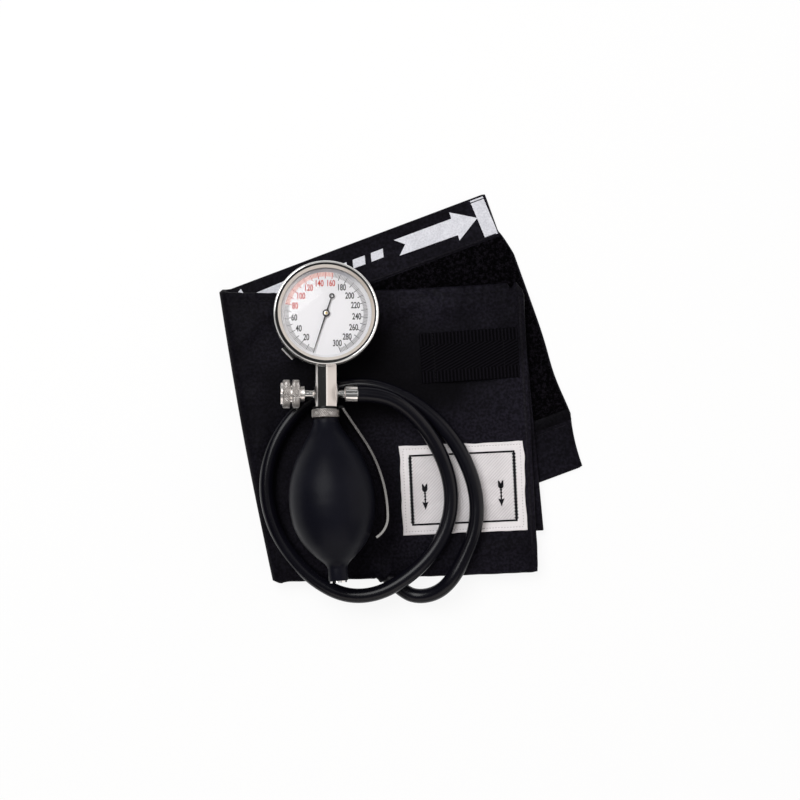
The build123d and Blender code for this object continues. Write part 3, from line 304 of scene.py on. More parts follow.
def moulded_rubber(name, deep, lit, rough, shine):
    """Satin rubber with a dusty bloom and a fine mould grain."""
    rubber = Finish(name)
    bloom = rubber.cloud(26, 3.0).step(0.3, 0.75)
    specks = rubber.cloud(2.2, 1.0).step(0.72, 0.76)
    return rubber.coat(rubber.shade(bloom * 0.7 + specks * 0.3, deep, lit), bloom * 0.06 + rough,
                       rubber.relief(rubber.cloud(0.8), 0.03, 0.35), shine)


def plated(name, base, rough, waviness):
    """Bright plating over turned or pressed metal, with faint wipe marks."""
    metal = Finish(name)
    smudge, fine = metal.cloud(7, 3.0), metal.cloud(0.5)
    return metal.coat(metal.shade(smudge, dimmed(base, 0.93), base), smudge * 0.06 + rough,
                      metal.relief(smudge * 0.7 + fine * 0.3, waviness, 0.25), metallic=1.0)


def knurled_nickel(name, seat, radius, depth):
    """Nickel over a knurl: bright on its points, with painted shade dulling it between them."""
    metal = Finish(name, seat)
    reach, smudge = metal.from_axis(), metal.cloud(7, 3.0)
    # Painted shade: the colour is darkened in the knurl's hollows
    groove = (reach.past(radius - 1.15 * depth, radius - 1.05 * depth)
              * (1 - reach.past(radius - 0.85 * depth, radius - 0.3 * depth)))
    colour = metal.shade(smudge, (0.90, 0.86, 0.835), (0.96, 0.925, 0.90))
    return metal.coat(metal.shade(groove * 0.8, colour, (0.14, 0.128, 0.122)),
                      smudge * 0.06 + 0.28, metal.relief(smudge, 0.02, 0.25), metallic=1.0)


def block_chrome():
    """The block's plating, satin at the right. Painted shade darkens its right side, a painted
    reflection is a pale line at the left, and rings at its bosses are painted dark at the left and
    bright at the right.
    """
    metal = Finish("block_chrome", STEM)
    x, z, smudge = metal.x, metal.z, metal.cloud(7, 3.0)
    # The pale line at the left is a painted reflection of a facet that the block lacks
    line = x.past(-5.3, -5.2) * (1 - x.past(-4.35, -4.2)) * z.past(2, 2.2)
    across, right = (x * x) ** 0.5, x.past(0, 1)
    seam = across.past(5.5, 5.53) * (1 - across.past(5.6, 5.64)) * z.past(3.3, 3.4)
    colour = metal.shade(smudge, (0.77, 0.76, 0.75), (0.83, 0.82, 0.81))
    # Painted shade: the right side is darkened
    colour = metal.shade(right, colour, (0.70, 0.66, 0.635))
    colour = metal.shade(line, colour, (0.62, 0.59, 0.575))
    # The rings at the bosses: painted shade at the left, and a painted highlight at the right
    seam_painted_light = metal.shade(x.past(-1, 1), (0.01, 0.01, 0.011), (0.98, 0.95, 0.93))
    return metal.coat(metal.shade(seam, colour, seam_painted_light),
                      smudge * 0.06 + 0.06 + right * 0.3 + line * 0.3 + seam * 0.2,
                      metal.relief(smudge, 0.02, 0.25), 0.2, 1 - line * 0.75 - seam)


def spoon_steel():
    """Polished spring steel, near black from the level of the nut's top up the stem."""
    metal = Finish("polished_spring_steel", STEM)
    # The spoon is near black from the level of the nut's top up the stem
    near_nut, smudge = metal.y.past(-8.4, -8.25), metal.cloud(7, 3.0)
    colour = metal.shade(smudge, (0.46, 0.44, 0.425), (0.52, 0.50, 0.485))
    return metal.coat(metal.shade(near_nut, colour, (0.01, 0.01, 0.01)), smudge * 0.06 + 0.12,
                      metal.relief(smudge, 0.03, 0.25), 0.1, 1 - near_nut)


def machined(name, base, rough):
    """Plain turned or stamped metal inside the gauge."""
    metal = Finish(name)
    scratches = metal.cloud(1.2, 4.0)
    return metal.coat(metal.shade(scratches, dimmed(base, 0.8), base), scratches * 0.2 + rough,
                      metal.relief(scratches, 0.02, 0.3), metallic=1.0)


def painted(name, base, rough):
    """Paint, print or moulded plastic, faintly mottled."""
    paint = Finish(name)
    fine = paint.cloud(0.4)
    return paint.coat(paint.shade(paint.cloud(6, 3.0), dimmed(base, 0.96), base),
                      fine * 0.08 + rough, paint.relief(fine, 0.01, 0.3))


def dial_paint(name, pale, shaded, low, high):
    """Satin white of the dial or its surround, with painted shade greying it towards the upper
    edge.
    """
    paint = Finish(name, GAUGE)
    fine = paint.cloud(0.5)
    # Painted shade: the colour greys towards the upper edge
    return paint.coat(paint.shade(paint.y.past(low, high) * 0.9 + fine * 0.1, pale, shaded),
                      0.45, paint.relief(fine, 0.01, 0.2))


def ringed_chrome():
    """The bezel: bright outside, a dark line of painted shade in its groove, wider towards the
    lower left, and a tan satin lip with painted shade on its right side.
    """
    metal = Finish("bezel_chrome", GAUGE)
    x, y, radius, smudge = metal.x, metal.y, metal.from_axis(), metal.cloud(6, 3.0)
    past_lip = radius.past(25.2, 25.3)
    # Painted shade: a dark line in the groove, wider towards the lower left
    lip, shade_widening = 1 - past_lip, ((x + y) * -0.7).past(4, 24) * 0.6 * MM
    groove = past_lip * (1 - (radius - shade_widening).past(26.2, 26.35))
    colour = metal.shade(smudge, (0.86, 0.85, 0.84), (0.92, 0.91, 0.90))
    # The lip's own tan, with painted shade darkening its right side
    lip_tone_and_shade = metal.shade(x.past(3, 22), (0.68, 0.625, 0.575), (0.46, 0.405, 0.355))
    colour = metal.shade(lip, colour, lip_tone_and_shade)
    return metal.coat(metal.shade(groove, colour, (0.003, 0.003, 0.003)),
                      lip * 0.4 + groove * 0.3 + smudge * 0.05 + 0.08,
                      metal.relief(smudge, 0.02, 0.2), 0.3, 0.66 - groove * 0.66 - lip * 0.4)


def ringed_hub():
    """The pointer's hub: a brass end, a pale ring round it and a dark edge."""
    metal = Finish("hub_rings", GAUGE)
    radius, scratches = metal.from_axis(), metal.cloud(0.8, 3.0)
    edge = radius.past(1.12, 1.24)
    colour = metal.shade(scratches, (0.52, 0.36, 0.15), (0.68, 0.50, 0.25))
    colour = metal.shade(radius.past(0.7, 0.8), colour, (0.72, 0.70, 0.68))
    return metal.coat(metal.shade(edge, colour, (0.03, 0.028, 0.03)), scratches * 0.2 + 0.3,
                      shine=0.3, metallic=0.7 - edge * 0.6)


def clear_glass():
    """Thin clear glass: it lets light through and mirrors a little."""
    glass = Finish("clear_glass")
    mirror = glass.node("BsdfGlossy", {
        "Roughness": glass.cloud(4, 3.0) * 0.02 + 0.01, "Color": (1, 1, 1, 1)})
    clear = glass.node("BsdfTransparent", {"Color": (0.995, 0.995, 0.995, 1)})
    gloss = glass.node("Fresnel", {"IOR": 1.45})
    return glass.surface(glass.node("MixShader", {"Fac": gloss * 0.16, 1: clear, 2: mirror}))


def pale_floor():
    """White to the camera and in reflections, and it keeps a soft shadow."""
    floor = Finish("pale_floor")
    rays = floor.node("LightPath").port.node.outputs
    seen = (Socket(floor, rays["Is Camera Ray"]) + Socket(floor, rays["Is Glossy Ray"])
            + Socket(floor, rays["Is Transmission Ray"]))
    matt = floor.node("BsdfDiffuse", {
        "Color": floor.shade(floor.cloud(120), (0.90, 0.90, 0.90), (0.92, 0.92, 0.92))})
    white = floor.node("Emission", {"Color": (1, 1, 1, 1), "Strength": 1.012})
    return floor.surface(floor.node("MixShader", {
        "Fac": seen * FLOOR_WHITE, 1: matt, 2: white}))


def weld(points, faces, seat):
    """A mesh in metres from points in millimetres, closed and facing outwards."""
    mesh = bpy.data.meshes.new("piece")
    mesh.from_pydata([(seat @ Vector(point)) * MM for point in points], [], faces)
    form = bmesh.new()
    form.from_mesh(mesh)
    bmesh.ops.remove_doubles(form, verts=form.verts, dist=1e-7)
    bmesh.ops.dissolve_degenerate(form, edges=form.edges, dist=1e-7)
    bmesh.ops.recalc_face_normals(form, faces=form.faces)
    form.to_mesh(mesh)
    form.free()
    return mesh


def placed(name, data, finish, body=ROOT):
    """Put a mesh or a curve into the scene as a piece of the object."""
    data.materials.append(finish)
    made = bpy.data.objects.new(name, data)
    scene.collection.objects.link(made)
    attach(made, body)
    return made


def piece(name, parts, finish, body=ROOT, seat=Matrix(), crease=40):
    """A piece of the object from one or more pairs of points and faces."""
    points, faces = [], []
    for some_points, some_faces in parts:
        faces += [tuple(index + len(points) for index in face) for face in some_faces]
        points += some_points
    mesh = weld(points, faces, seat)
    mesh.shade_smooth()
    mesh.set_sharp_from_angle(angle=radians(crease))
    return placed(name, mesh, finish, body)


def grid(columns, rows, point):
    """Points and faces of an open net: point(column, row) gives each place."""
    points = [point(column, row) for column in range(columns) for row in range(rows)]
    faces = [
        (column * rows + row, (column + 1) * rows + row,
         (column + 1) * rows + row + 1, column * rows + row + 1)
        for column in range(columns - 1) for row in range(rows - 1)
    ]
    return points, faces


def skin(rings):
    """A closed form over rings of as many points each, in order."""
    count = len(rings[0])
    points = [point for ring in rings for point in ring]
    faces = [(first + side, first + (side + 1) % count, first + (side + 1) % count + count,
              first + side + count)
             for first in range(0, len(points) - count, count) for side in range(count)]
    ends = [tuple(reversed(range(count))), tuple(range(len(points) - count, len(points)))]
    return points, faces + ends


def layer(columns, rows, face):
    """A closed layer with a rounded edge: face(column, row, upper) gives both its nets."""
    points, faces = grid(columns, rows, lambda column, row: face(column, row, True))
    low_points, low_faces = grid(columns, rows, lambda column, row: face(column, row, False))
    count = len(points)
    faces = faces + [tuple(index + count for index in reversed(face)) for face in low_faces]
    border = [(column, 0) for column in range(columns)]
    border += [(columns - 1, row) for row in range(1, rows)]
    border += [(column, rows - 1) for column in range(columns - 2, -1, -1)]
    border += [(0, row) for row in range(rows - 2, 0, -1)]
    edge = []
    for column, row in border:
        here = column * rows + row
        near = min(max(column, 1), columns - 2) * rows + min(max(row, 1), rows - 2)
        top, low = Vector(points[here]), Vector(low_points[here])
        inside = (Vector(points[near]) + Vector(low_points[near])) / 2
        middle = (top + low) / 2
        edge.append(middle + (middle - inside).normalized() * (top - low).length * 0.3)
    first = 2 * count
    points = points + low_points + edge
    for place, (column, row) in enumerate(border):
        after = (place + 1) % len(border)
        here, there = column * rows + row, border[after][0] * rows + border[after][1]
        faces.append((here, first + place, first + after, there))
        faces.append((first + place, count + here, count + there, first + after))
    return points, faces


def turned(outline, steps, carve=None):
    """A form turned about Z: a closed outline of radius and height pairs."""
    points, faces = [], []
    for step in range(steps):
        angle = 2 * pi * step / steps
        for radius, height in outline:
            reach = carve(angle, radius, height) if carve else radius
            points.append((reach * cos(angle), reach * sin(angle), height))
    count = len(outline)
    for step in range(steps):
        here, there = step * count, (step + 1) % steps * count
        for row in range(count - 1):
            faces.append((here + row, there + row, there + row + 1, here + row + 1))
    return points, faces


def smooth_line(points, steps):
    """Points on a smooth line through the given ones."""
    ends = [points[0], *points, points[-1]]
    line = []
    for before, here, after, beyond in zip(ends, ends[1:], ends[2:], ends[3:]):
        for step in range(steps):
            t = step / steps
            line.append(tuple(
                0.5 * (2 * b + (c - a) * t + (2 * a - 5 * b + 4 * c - d) * t * t
                       + (3 * b - a - 3 * c + d) * t ** 3)
                for a, b, c, d in zip(before, here, after, beyond)))
    return line + [tuple(points[-1])]


def slab(corners, low, high):
    """A thin plate on its corner points, for a printed or woven mark."""
    return skin([[(x, y, height) for x, y in corners] for height in (low, high)])


def fitted_print(outline, height, thickness, step=3.0):
    """A printed shape that follows a surface: its outline filled with a fine net."""
    border = []
    for here, there in zip(outline, outline[1:] + outline[:1]):
        pieces = max(1, ceil(hypot(there[0] - here[0], there[1] - here[1]) / step))
        border += [Vector(here).lerp(Vector(there), part / pieces) for part in range(pieces)]
    xs, ys = [p.x for p in border], [p.y for p in border]
    inner = [
        Vector((x * step, y * step))
        for x in range(floor(min(xs) / step), ceil(max(xs) / step) + 1)
        for y in range(floor(min(ys) / step), ceil(max(ys) / step) + 1)
    ]
    ring = list(range(len(border)))
    flat, _, faces, *_ = delaunay_2d_cdt(border + inner, [], [ring], 1, 1e-5)
    count = len(flat)
    points = [(p.x, p.y, height(p.x, p.y) + thickness) for p in flat]
    points += [(p.x, p.y, height(p.x, p.y) - thickness) for p in flat]
    sides = {side: None for face in faces for side in zip(face, [*face[1:], face[0]])}
    rim = [(here, here + count, there + count, there)
           for here, there in sides if (there, here) not in sides]
    return points, [tuple(face) for face in faces] + [
        tuple(index + count for index in reversed(face)) for face in faces] + rim


def stitches(line, height, pitch, length, width, thick, lean=0.0):
    """Sewn stitches along points on a surface, each a small pad of thread."""
    pads, carried = [], 0.0
    for here, there in zip(line, line[1:]):
        here, there = Vector(here), Vector(there)
        run = (there - here).length
        way = (there - here).normalized()
        yarn_way = Matrix.Rotation(radians(lean), 2) @ way
        across = Vector((-yarn_way.y, yarn_way.x))
        at = -carried
        while at < run:
            if at >= 0:
                rings = []
                for part, wide in ((-0.5, 0.35), (-0.25, 1), (0.25, 1), (0.5, 0.35)):
                    spot = here + way * at + yarn_way * (part * length)
                    places = [(spot + across * (side * wide * width / 2), up * wide * thick)
                              for side, up in ((-1, 0), (-0.6, 0.8), (0.6, 0.8), (1, 0))]
                    rings.append([(*place, height(*place) + rise - 0.02)
                                  for place, rise in places])
                pads.append(skin(rings))
            at += pitch
        carried = pitch - (at - run)
    return pads


# Hose: a round section along one smooth spline, wider where it grips the nipple
hose_rubber = moulded_rubber(
    "hose_rubber", (0.0030, 0.0028, 0.0052), (0.0053, 0.0051, 0.0086), 0.20, 0.21)
hose_curve = bpy.data.curves.new("rubber_hose", "CURVE")
hose_curve.dimensions = "3D"
spline = hose_curve.splines.new("NURBS")
spline.points.add(len(hose_route) - 1)
for point, spot in zip(spline.points, hose_route):
    point.co = (*(spot * MM), 1)
for point, swell in zip(spline.points, (1.14, 1.10, 1.03)):
    point.radius = swell
spline.order_u, spline.use_endpoint_u, spline.resolution_u = 3, True, 12
hose_curve.bevel_depth, hose_curve.bevel_resolution = HOSE_D / 2 * MM, 10
hose_curve.use_fill_caps = True
hose = placed("rubber_hose", hose_curve, hose_rubber)
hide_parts("hose")

# Stage: floor and soft studio light
FLOOR_WHITE = 0.88
WORLD_LEFT, WORLD_RIGHT = 0.0, 0.24
WARM, PLAIN = (1.0, 0.93, 0.88), (1.0, 1.0, 1.0)
TABLE_SIZE, TABLE_DROP = 6000, 0.02

table_mesh = weld(*grid(2, 2, lambda column, row: (
    (column - 0.5) * TABLE_SIZE, (row - 0.5) * TABLE_SIZE, -TABLE_DROP)), Matrix())
table_mesh.materials.append(pale_floor())
table_top = bpy.data.objects.new("table_top", table_mesh)
scene.collection.objects.link(table_top)

studio = Finish("studio", kind="World")
scene.world = studio.surface(studio.node("Background", {
    "Color": (1, 1, 1, 1), "Strength": studio.node("MapRange", {
        "Value": studio.x, "From Min": -1, "To Min": WORLD_LEFT, "To Max": WORLD_RIGHT})}))


def soft_lamp(name, place, width, height, power, tint=PLAIN, diffuse=1.0):
    """A soft box that faces the object. One that is seen only in shiny metal is a strip."""
    data = bpy.data.lights.new(name, "AREA")
    data.shape, data.color, data.diffuse_factor = "RECTANGLE", tint, diffuse
    data.size, data.size_y, data.energy = width, height, power
    lamp = bpy.data.objects.new(name, data)
    lamp.location = place
    lamp.rotation_euler = (-Vector(place)).to_track_quat("-Z", "Y").to_euler()
    scene.collection.objects.link(lamp)


soft_lamp("window_box", (-0.45, 0.50, 1.15), 0.9, 0.8, 13.6)
soft_lamp("right_box", (1.15, 0.22, 0.52), 1.5, 1.1, 4.8, WARM)
soft_lamp("front_box", (0.10, -1.10, 0.62), 1.5, 0.9, 4.8, WARM)
soft_lamp("over_strip", (0, 0.06, 1.35), 2.0, 0.22, 0.8, PLAIN, 0.0)
soft_lamp("back_strip", (0, 1.0, 0.9), 2.0, 0.2, 0.75, PLAIN, 0.0)

# Cuff: the strip's own corners
CUFF_WIDTH = 156.0
FRONT_DEPTH, FRONT_END_WIDTH = 155, CUFF_WIDTH * 0.985
FRONT_LOW, FRONT_TOP, CLOTH = 7.0, 12.0, 2.4
FOLD_TOP = (-97.6, 58.5)
FOLD_TURN, FOLD_LEAN, FRONT_TURN, FRONT_END_TURN, BACK_TURN = 10.5, 9.3, 1.2, 3.0, 20.6
BACK_LENGTH, BACK_END_TURN, FRONT_LENGTH = 146.6, -70.25, 157.5
FOLD_R = 6.0
FOLD_INNER_R = (FRONT_LOW - CLOTH) / 2
POCKET_MARGIN, POCKET_LOW, POCKET_WALL, POCKET_RAMP, BAG_GAP = 12.7, 8.1, 1.1, 1.2, 0.3
TUBE_LENGTH, TUBE_ROOM = 25.0, 4.3
LOOP_CORNER, LOOP_TURN, LOOP_LENGTH, LOOP_WIDTH = (12.3, 8.9), 4.0, 52.0, 26.4
LABEL_CORNER, LABEL_TURN, LABEL_LENGTH, LABEL_WIDTH = (1.8, -72.6), 2.6, 66.5, 47.8


def along(point, angle, distance):
    """The point at a distance from another, at an angle from +X in the plane."""
    return Vector((point[0] + distance * cos(radians(angle)),
                   point[1] + distance * sin(radians(angle))))


fold_length = CUFF_WIDTH / cos(radians(FOLD_LEAN))
fold_bottom = along(FOLD_TOP, FOLD_TURN - 90, fold_length)
seam_top, seam_bottom = along(FOLD_TOP, FOLD_TURN, FOLD_R), along(fold_bottom, FOLD_TURN, FOLD_R)
front_far_top = along(seam_top, FRONT_TURN, FRONT_LENGTH)
front_far_bottom = along(front_far_top, FRONT_END_TURN - 90, FRONT_END_WIDTH)
back_far_top = along(seam_top, BACK_TURN, BACK_LENGTH)
back_far_bottom = along(back_far_top, BACK_END_TURN, CUFF_WIDTH)
front_corners = (seam_top, front_far_top, front_far_bottom, seam_bottom)

# How far the front's edges hang, at distances from the fold, with its notch and cut corner
TOP_SAG = [(0, 2.6), (26, 3.4), (91, 2.9), (120, 2.0), (147, 0.7), (FRONT_LENGTH, 0.0)]
LOW_DROP, NOTCH_PLACE, NOTCH_DEEP, NOTCH_HALF, CORNER_FROM = 1.2, 151.3, 3.0, 2.1, 154.3

# How far the back's far end bulges, down to where, and where painted shade makes the front's cloth
# darkest
BULGE, BULGE_END = 4.2, 126
PAINTED_SHADE_MIDDLE, PAINTED_SHADE_SIZE = (-2, 20), (68, 30)

# Soft creases of the front panel: both ends, half width and height, in millimetres
FRONT_CREASES = [
    ((-86, 40), (-62, 50), 7, 0.7), ((-84, 10), (-70, -20), 9, 0.6),
    ((-93, 22), (-80, 36), 4, 0.6), ((-90, -2), (-80, 10), 4, -0.6),
    ((-82, -34), (-70, -22), 5, 0.6), ((-76, -66), (-62, -54), 5, 0.7),
    ((-8, 44), (30, 54), 8, 0.8), ((-5, 30), (8, 44), 6, -0.9),
    ((-2, 22), (6, 36), 7, -0.6), ((20, 48), (60, 54), 5, 0.5),
    ((15.5, 58.4), (20.5, 55.2), 1.6, -0.7), ((12.0, 57.5), (16.5, 54.0), 1.8, 0.5),
    ((30, 57.5), (36, 54.5), 1.8, -0.5), ((48, 60), (53, 55), 1.8, -0.5),
    ((54, 61), (60, 56), 1.8, 0.5),
    ((40, -82), (70, -78), 4, 0.9), ((24, -88), (60, -86), 3, -0.7),
    ((-60, -86), (-48, -70), 7, 0.6), ((50, 0), (70, -16), 7, 0.7),
    ((52, -10), (66, -22), 4, -0.5), ((8.2, -83.5), (8.0, -93), 1.5, -1.1),
    ((11.0, -84), (11.4, -93), 1.6, 0.7), ((5.4, -85), (4.8, -93), 1.8, 0.5),
    ((-8, -92), (-2, -74), 3, 0.8), ((60, 44), (66, 56), 3, 0.6),
    ((14, -64), (18, -86), 5, 0.5), ((20, -4), (44, -14), 7, 0.5),
]


def bell(distance, width):
    """1 at no distance, and nearly 0 at twice the width."""
    return exp(-(distance / width) ** 2)


def clamp(share):
    """A share kept from 0 to 1."""
    return min(1, max(0, share))


def seat_at(place, turn):
    """The frame of a flat piece that is turned about the vertical."""
    return Matrix.Translation(place) @ Matrix.Rotation(radians(turn), 4, "Z")


def from_segment(x, y, start, end):
    """Distance from a point to a straight piece of line."""
    ax, ay = end[0] - start[0], end[1] - start[1]
    share = clamp(((x - start[0]) * ax + (y - start[1]) * ay) / (ax * ax + ay * ay))
    return hypot(x - start[0] - share * ax, y - start[1] - share * ay)


hose_shadow = [(a, b) for a, b in zip(hose_route, hose_route[1:]) if min(a.z, b.z) < 20]
gauge_spot, bulb_ends = GAUGE @ Vector(), (BULB @ Vector((0, -12, 0)), BULB @ Vector((0, -75, 0)))


def room(x, y):
    """How freely the cloth may rise: 0 under the hose, bulb and gauge, 1 in the open."""
    clear = min(from_segment(x, y, a, b) for a, b in hose_shadow) - 3
    clear = min(clear, from_segment(x, y, *bulb_ends) - 14,
                hypot(x - gauge_spot.x, y - gauge_spot.y) - 26)
    return clamp(clear / 5)


def front_height(x, y):
    """Height of the front panel's upper face, away from its edges."""
    lift = 0.45 * noise.noise((x / 30, y / 30, 3)) + 0.2 * noise.noise((x / 11, y / 13, 7))
    for start, end, width, height in FRONT_CREASES:
        lift += height * bell(from_segment(x, y, start, end), width)
    lift = min(lift, lift * room(x, y))
    tube = from_segment(x, y, TUBE_END + tube_way * 5, TUBE_END + tube_way * 19)
    return FRONT_TOP + max(lift, 1.5 * bell(tube, 4))


def back_height(x, y):
    """Height of the back panel's upper face."""
    return CLOTH + 0.12 * noise.noise((x / 25, y / 25, 11))


def spread(count, crowding):
    """Shares from 0 to 1, closer together near both ends."""
    even = [step / (count - 1) for step in range(count)]
    return [share * (1 - crowding) + crowding * (0.5 - 0.5 * cos(pi * share)) for share in even]


HEM_FALL, HEM_ROUND = 1.1, 2.6
cover_rows = spread(130, 0.7)
front_steps = [1 - share for share in spread(150, 0.65)]
fold_steps = [pi * step / 16 for step in range(1, 16)]
back_steps = spread(64, 0.6)
cover_columns = len(front_steps) + len(fold_steps) + len(back_steps)


def top_sag(distance):
    """How far the front's upper edge hangs below a straight line."""
    for (start, first), (end, last) in zip(TOP_SAG, TOP_SAG[1:]):
        if distance <= end:
            share = (distance - start) / (end - start)
            return first + (last - first) * share * share * (3 - 2 * share)
    return 0.0


def edge_shift(distance, top_edge, low_edge):
    """How far the front's cloth is moved up the sheet, by its sag, gathers and notch."""
    shift = -top_sag(distance) * max(0, 1 - top_edge / FRONT_DEPTH) ** 2
    shift += 0.35 * noise.noise((distance / 5, 1, 0)) * bell(top_edge, 5)
    notch = NOTCH_DEEP * max(0, 1 - abs(distance - NOTCH_PLACE) / NOTCH_HALF)
    shift -= notch * bell(top_edge, 3.0)
    shift -= 1.1 * max(0, distance - CORNER_FROM) * bell(top_edge, 4)
    shift -= LOW_DROP * max(0, 1 - low_edge / FRONT_DEPTH) ** 2
    return shift + 0.3 * noise.noise((distance / 9, 5, 0)) * bell(low_edge, 6)


def panel_point(corners, share, down):
    """A point of a four-cornered panel, by shares of its length and width."""
    top, far_top, far_low, low = corners
    return top.lerp(far_top, share).lerp(low.lerp(far_low, share), down)


def front_spot(share, down):
    """A point of the front panel, by shares of its length and width, with its cloth's shift."""
    spot = panel_point(front_corners, share, down)
    spot.y += edge_shift(share * FRONT_LENGTH, down * FRONT_DEPTH, (1 - down) * FRONT_DEPTH)
    return spot


def overhang(down):
    """How far the back panel and its pad reach past a straight end, at a distance down it."""
    if down < BULGE_END:
        return BULGE * clamp((down - 21) / 13) ** 0.7 - 1.6 * bell(down - 104, 17)
    return 3.85 * ((CUFF_WIDTH - down) / (CUFF_WIDTH - BULGE_END)) ** 2


def tube_half(x, y):
    """Half the height that the bag's tube takes up at a point, with a little play."""
    reach = from_segment(x, y, TUBE_END, TUBE_END + tube_way * TUBE_LENGTH)
    return sqrt(max(0, TUBE_ROOM ** 2 - reach ** 2))


def cover_face(column, row, outside):
    """The cover's outer or inner face: over the front, round the fold and under the back."""
    down = cover_rows[row]
    top_edge, low_edge = down * FRONT_DEPTH, (1 - down) * FRONT_DEPTH
    if column < len(front_steps):
        share = front_steps[column]
        spot, far_edge = front_spot(share, down), (1 - share) * FRONT_LENGTH
        height = front_height(spot.x, spot.y)
        if not outside:
            from_fold = share * FRONT_LENGTH
            base = FRONT_LOW + (POCKET_LOW - FRONT_LOW) * min(1, from_fold / 3)
            within = min(top_edge, low_edge, far_edge, from_fold) - POCKET_MARGIN + POCKET_RAMP
            roof = base + (height - POCKET_WALL - base) * clamp(within / POCKET_RAMP)
            return (spot.x, spot.y, max(roof, base + tube_half(spot.x, spot.y)))
        for edge, fall in ((top_edge, HEM_FALL), (low_edge, 0.8), (far_edge, 2.0)):
            height -= fall * bell(edge, HEM_ROUND)
        height -= 0.3 * bell(top_edge - 5, 0.8)
        height += 0.25 * sin(spot.x * 1.05 + sin(spot.x * 0.3) * 2) * bell(top_edge, 6)
        return (spot.x, spot.y, height)
    if column < len(front_steps) + len(fold_steps):
        turn = fold_steps[column - len(front_steps)]
        radius, centre = (FOLD_R, FOLD_R) if outside else (FOLD_INNER_R, CLOTH + FOLD_INNER_R)
        spot = seam_top.lerp(seam_bottom, down)
        spot.y += edge_shift(0, top_edge, low_edge) * (0.5 + 0.5 * cos(turn)) ** 3
        bulge = 1.4 * sin(turn) * sin(pi * down) * outside
        out = along((0, 0), FOLD_TURN + 180, radius * sin(turn) + bulge)
        rise = (front_height(spot.x, spot.y) - FRONT_TOP) * (1 + cos(turn)) / 2 if outside else 0
        return (spot.x + out.x, spot.y + out.y, centre + radius * cos(turn) + rise)
    share = back_steps[column - len(front_steps) - len(fold_steps)]
    spot = panel_point((seam_top, back_far_top, back_far_bottom, seam_bottom), share, down)
    spot.x += overhang(down * CUFF_WIDTH) * share ** 6
    return (spot.x, spot.y, 0.0 if outside else back_height(spot.x, spot.y))


# The rubber bag in the front panel's pocket, and the lining that closes the pocket below
POCKET_STEPS = 60
pocket_steps = spread(POCKET_STEPS, 0.7)


def on_front(near_fold, near_far, margin, column, row):
    """A point of the front panel, inside margins from its fold, its far end and its edges."""
    run, depth = FRONT_LENGTH - near_fold - near_far, FRONT_DEPTH - 2 * margin
    return front_spot((near_fold + run * pocket_steps[column]) / FRONT_LENGTH,
                      (margin + depth * pocket_steps[row]) / FRONT_DEPTH)


def bag_face(column, row, upper):
    """The bag's upper or lower face."""
    margin = POCKET_MARGIN + BAG_GAP
    spot = on_front(margin, margin, margin, column, row)
    if not upper:
        return (spot.x, spot.y, POCKET_LOW + BAG_GAP)
    edge = min(column, row, POCKET_STEPS - 1 - column, POCKET_STEPS - 1 - row)
    return (spot.x, spot.y, front_height(spot.x, spot.y) - POCKET_WALL - BAG_GAP
            - 0.8 * bell(edge, 2))


def lining_face(column, row, upper):
    """The lining's upper or lower face: it dips under the bag's tube."""
    spot = on_front(3, 1, 1, column, row)
    top = min(POCKET_LOW - 0.05, TUBE_END.z - tube_half(spot.x, spot.y))
    return (spot.x, spot.y, top if upper else top - 1)


cuff_cloth = nylon_cloth("cuff_cloth", (0.0009, 0.0007, 0.0012), (0.0140, 0.0124, 0.0200), -2)
tail_cloth = nylon_cloth("tail_cloth", (0.0030, 0.0026, 0.0038), (0.0170, 0.0155, 0.0215), 3)
cover = piece("cuff_cover_cloth", [layer(cover_columns, len(cover_rows), cover_face)],
              cuff_cloth, crease=75)
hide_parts("cuff_cover")
lining = piece("pocket_lining_cloth", [layer(POCKET_STEPS, POCKET_STEPS, lining_face)],
               cuff_cloth, crease=75)

tube_axes = Matrix((tube_way.cross((0, 0, 1)), (0, 0, 1), tube_way)).transposed().to_4x4()
tube_seat = Matrix.Translation(TUBE_END) @ tube_axes
bag_rubber = moulded_rubber(
    "bag_rubber", (0.006, 0.0056, 0.0075), (0.014, 0.013, 0.016), 0.45, 0.4)
bag = piece("air_bag", [layer(POCKET_STEPS, POCKET_STEPS, bag_face)], bag_rubber)
piece("air_bag_tube", [turned([
    (2.1, 0), (3.7, 0), (3.9, 0.2), (3.9, 18), (2.6, TUBE_LENGTH), (1.5, TUBE_LENGTH), (2.1, 18),
    (2.1, 0)], 48)], bag_rubber, seat=tube_seat)
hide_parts("bladder")
sleeve = piece("tube_sleeve_cloth", [turned([
    (4.0, 3.2), (4.6, 3.0), (5.0, 3.4), (5.1, 4.4), (4.8, 5.2), (5.0, 7.0), (4.9, 12.0),
    (4.0, 12.0), (4.0, 3.2)], 64)], cuff_cloth, seat=tube_seat)

# Tail of the cuff and the loop pile pad
TAIL_WIDTH, TAIL_LENGTH, TAIL_LOW, TAIL_HIGH = 128, 138, 4.5, 6.5
tail_corner = Vector((77.2, -70.1))
tail_top = along(tail_corner, 95.3, TAIL_WIDTH)
tail_corners = (along(tail_top, 181.2, TAIL_LENGTH), tail_top, tail_corner,
                along(tail_corner, 182.65, TAIL_LENGTH))
tail_shares = spread(60, 0.9)


def tail_face(column, row, upper):
    """The tail's upper or lower face."""
    share, down = tail_shares[column], tail_shares[row]
    spot = panel_point(tail_corners, share, down)
    if not upper:
        return (spot.x, spot.y, TAIL_LOW)
    edge = min((1 - share) * TAIL_LENGTH, down * TAIL_WIDTH, (1 - down) * TAIL_WIDTH)
    height = TAIL_HIGH - 0.6 * bell(edge, 0.7) - 0.5 * bell(edge - 2.1, 0.6)
    return (spot.x, spot.y, height + 0.15 * noise.noise((spot.x / 12, spot.y / 12, 5)))


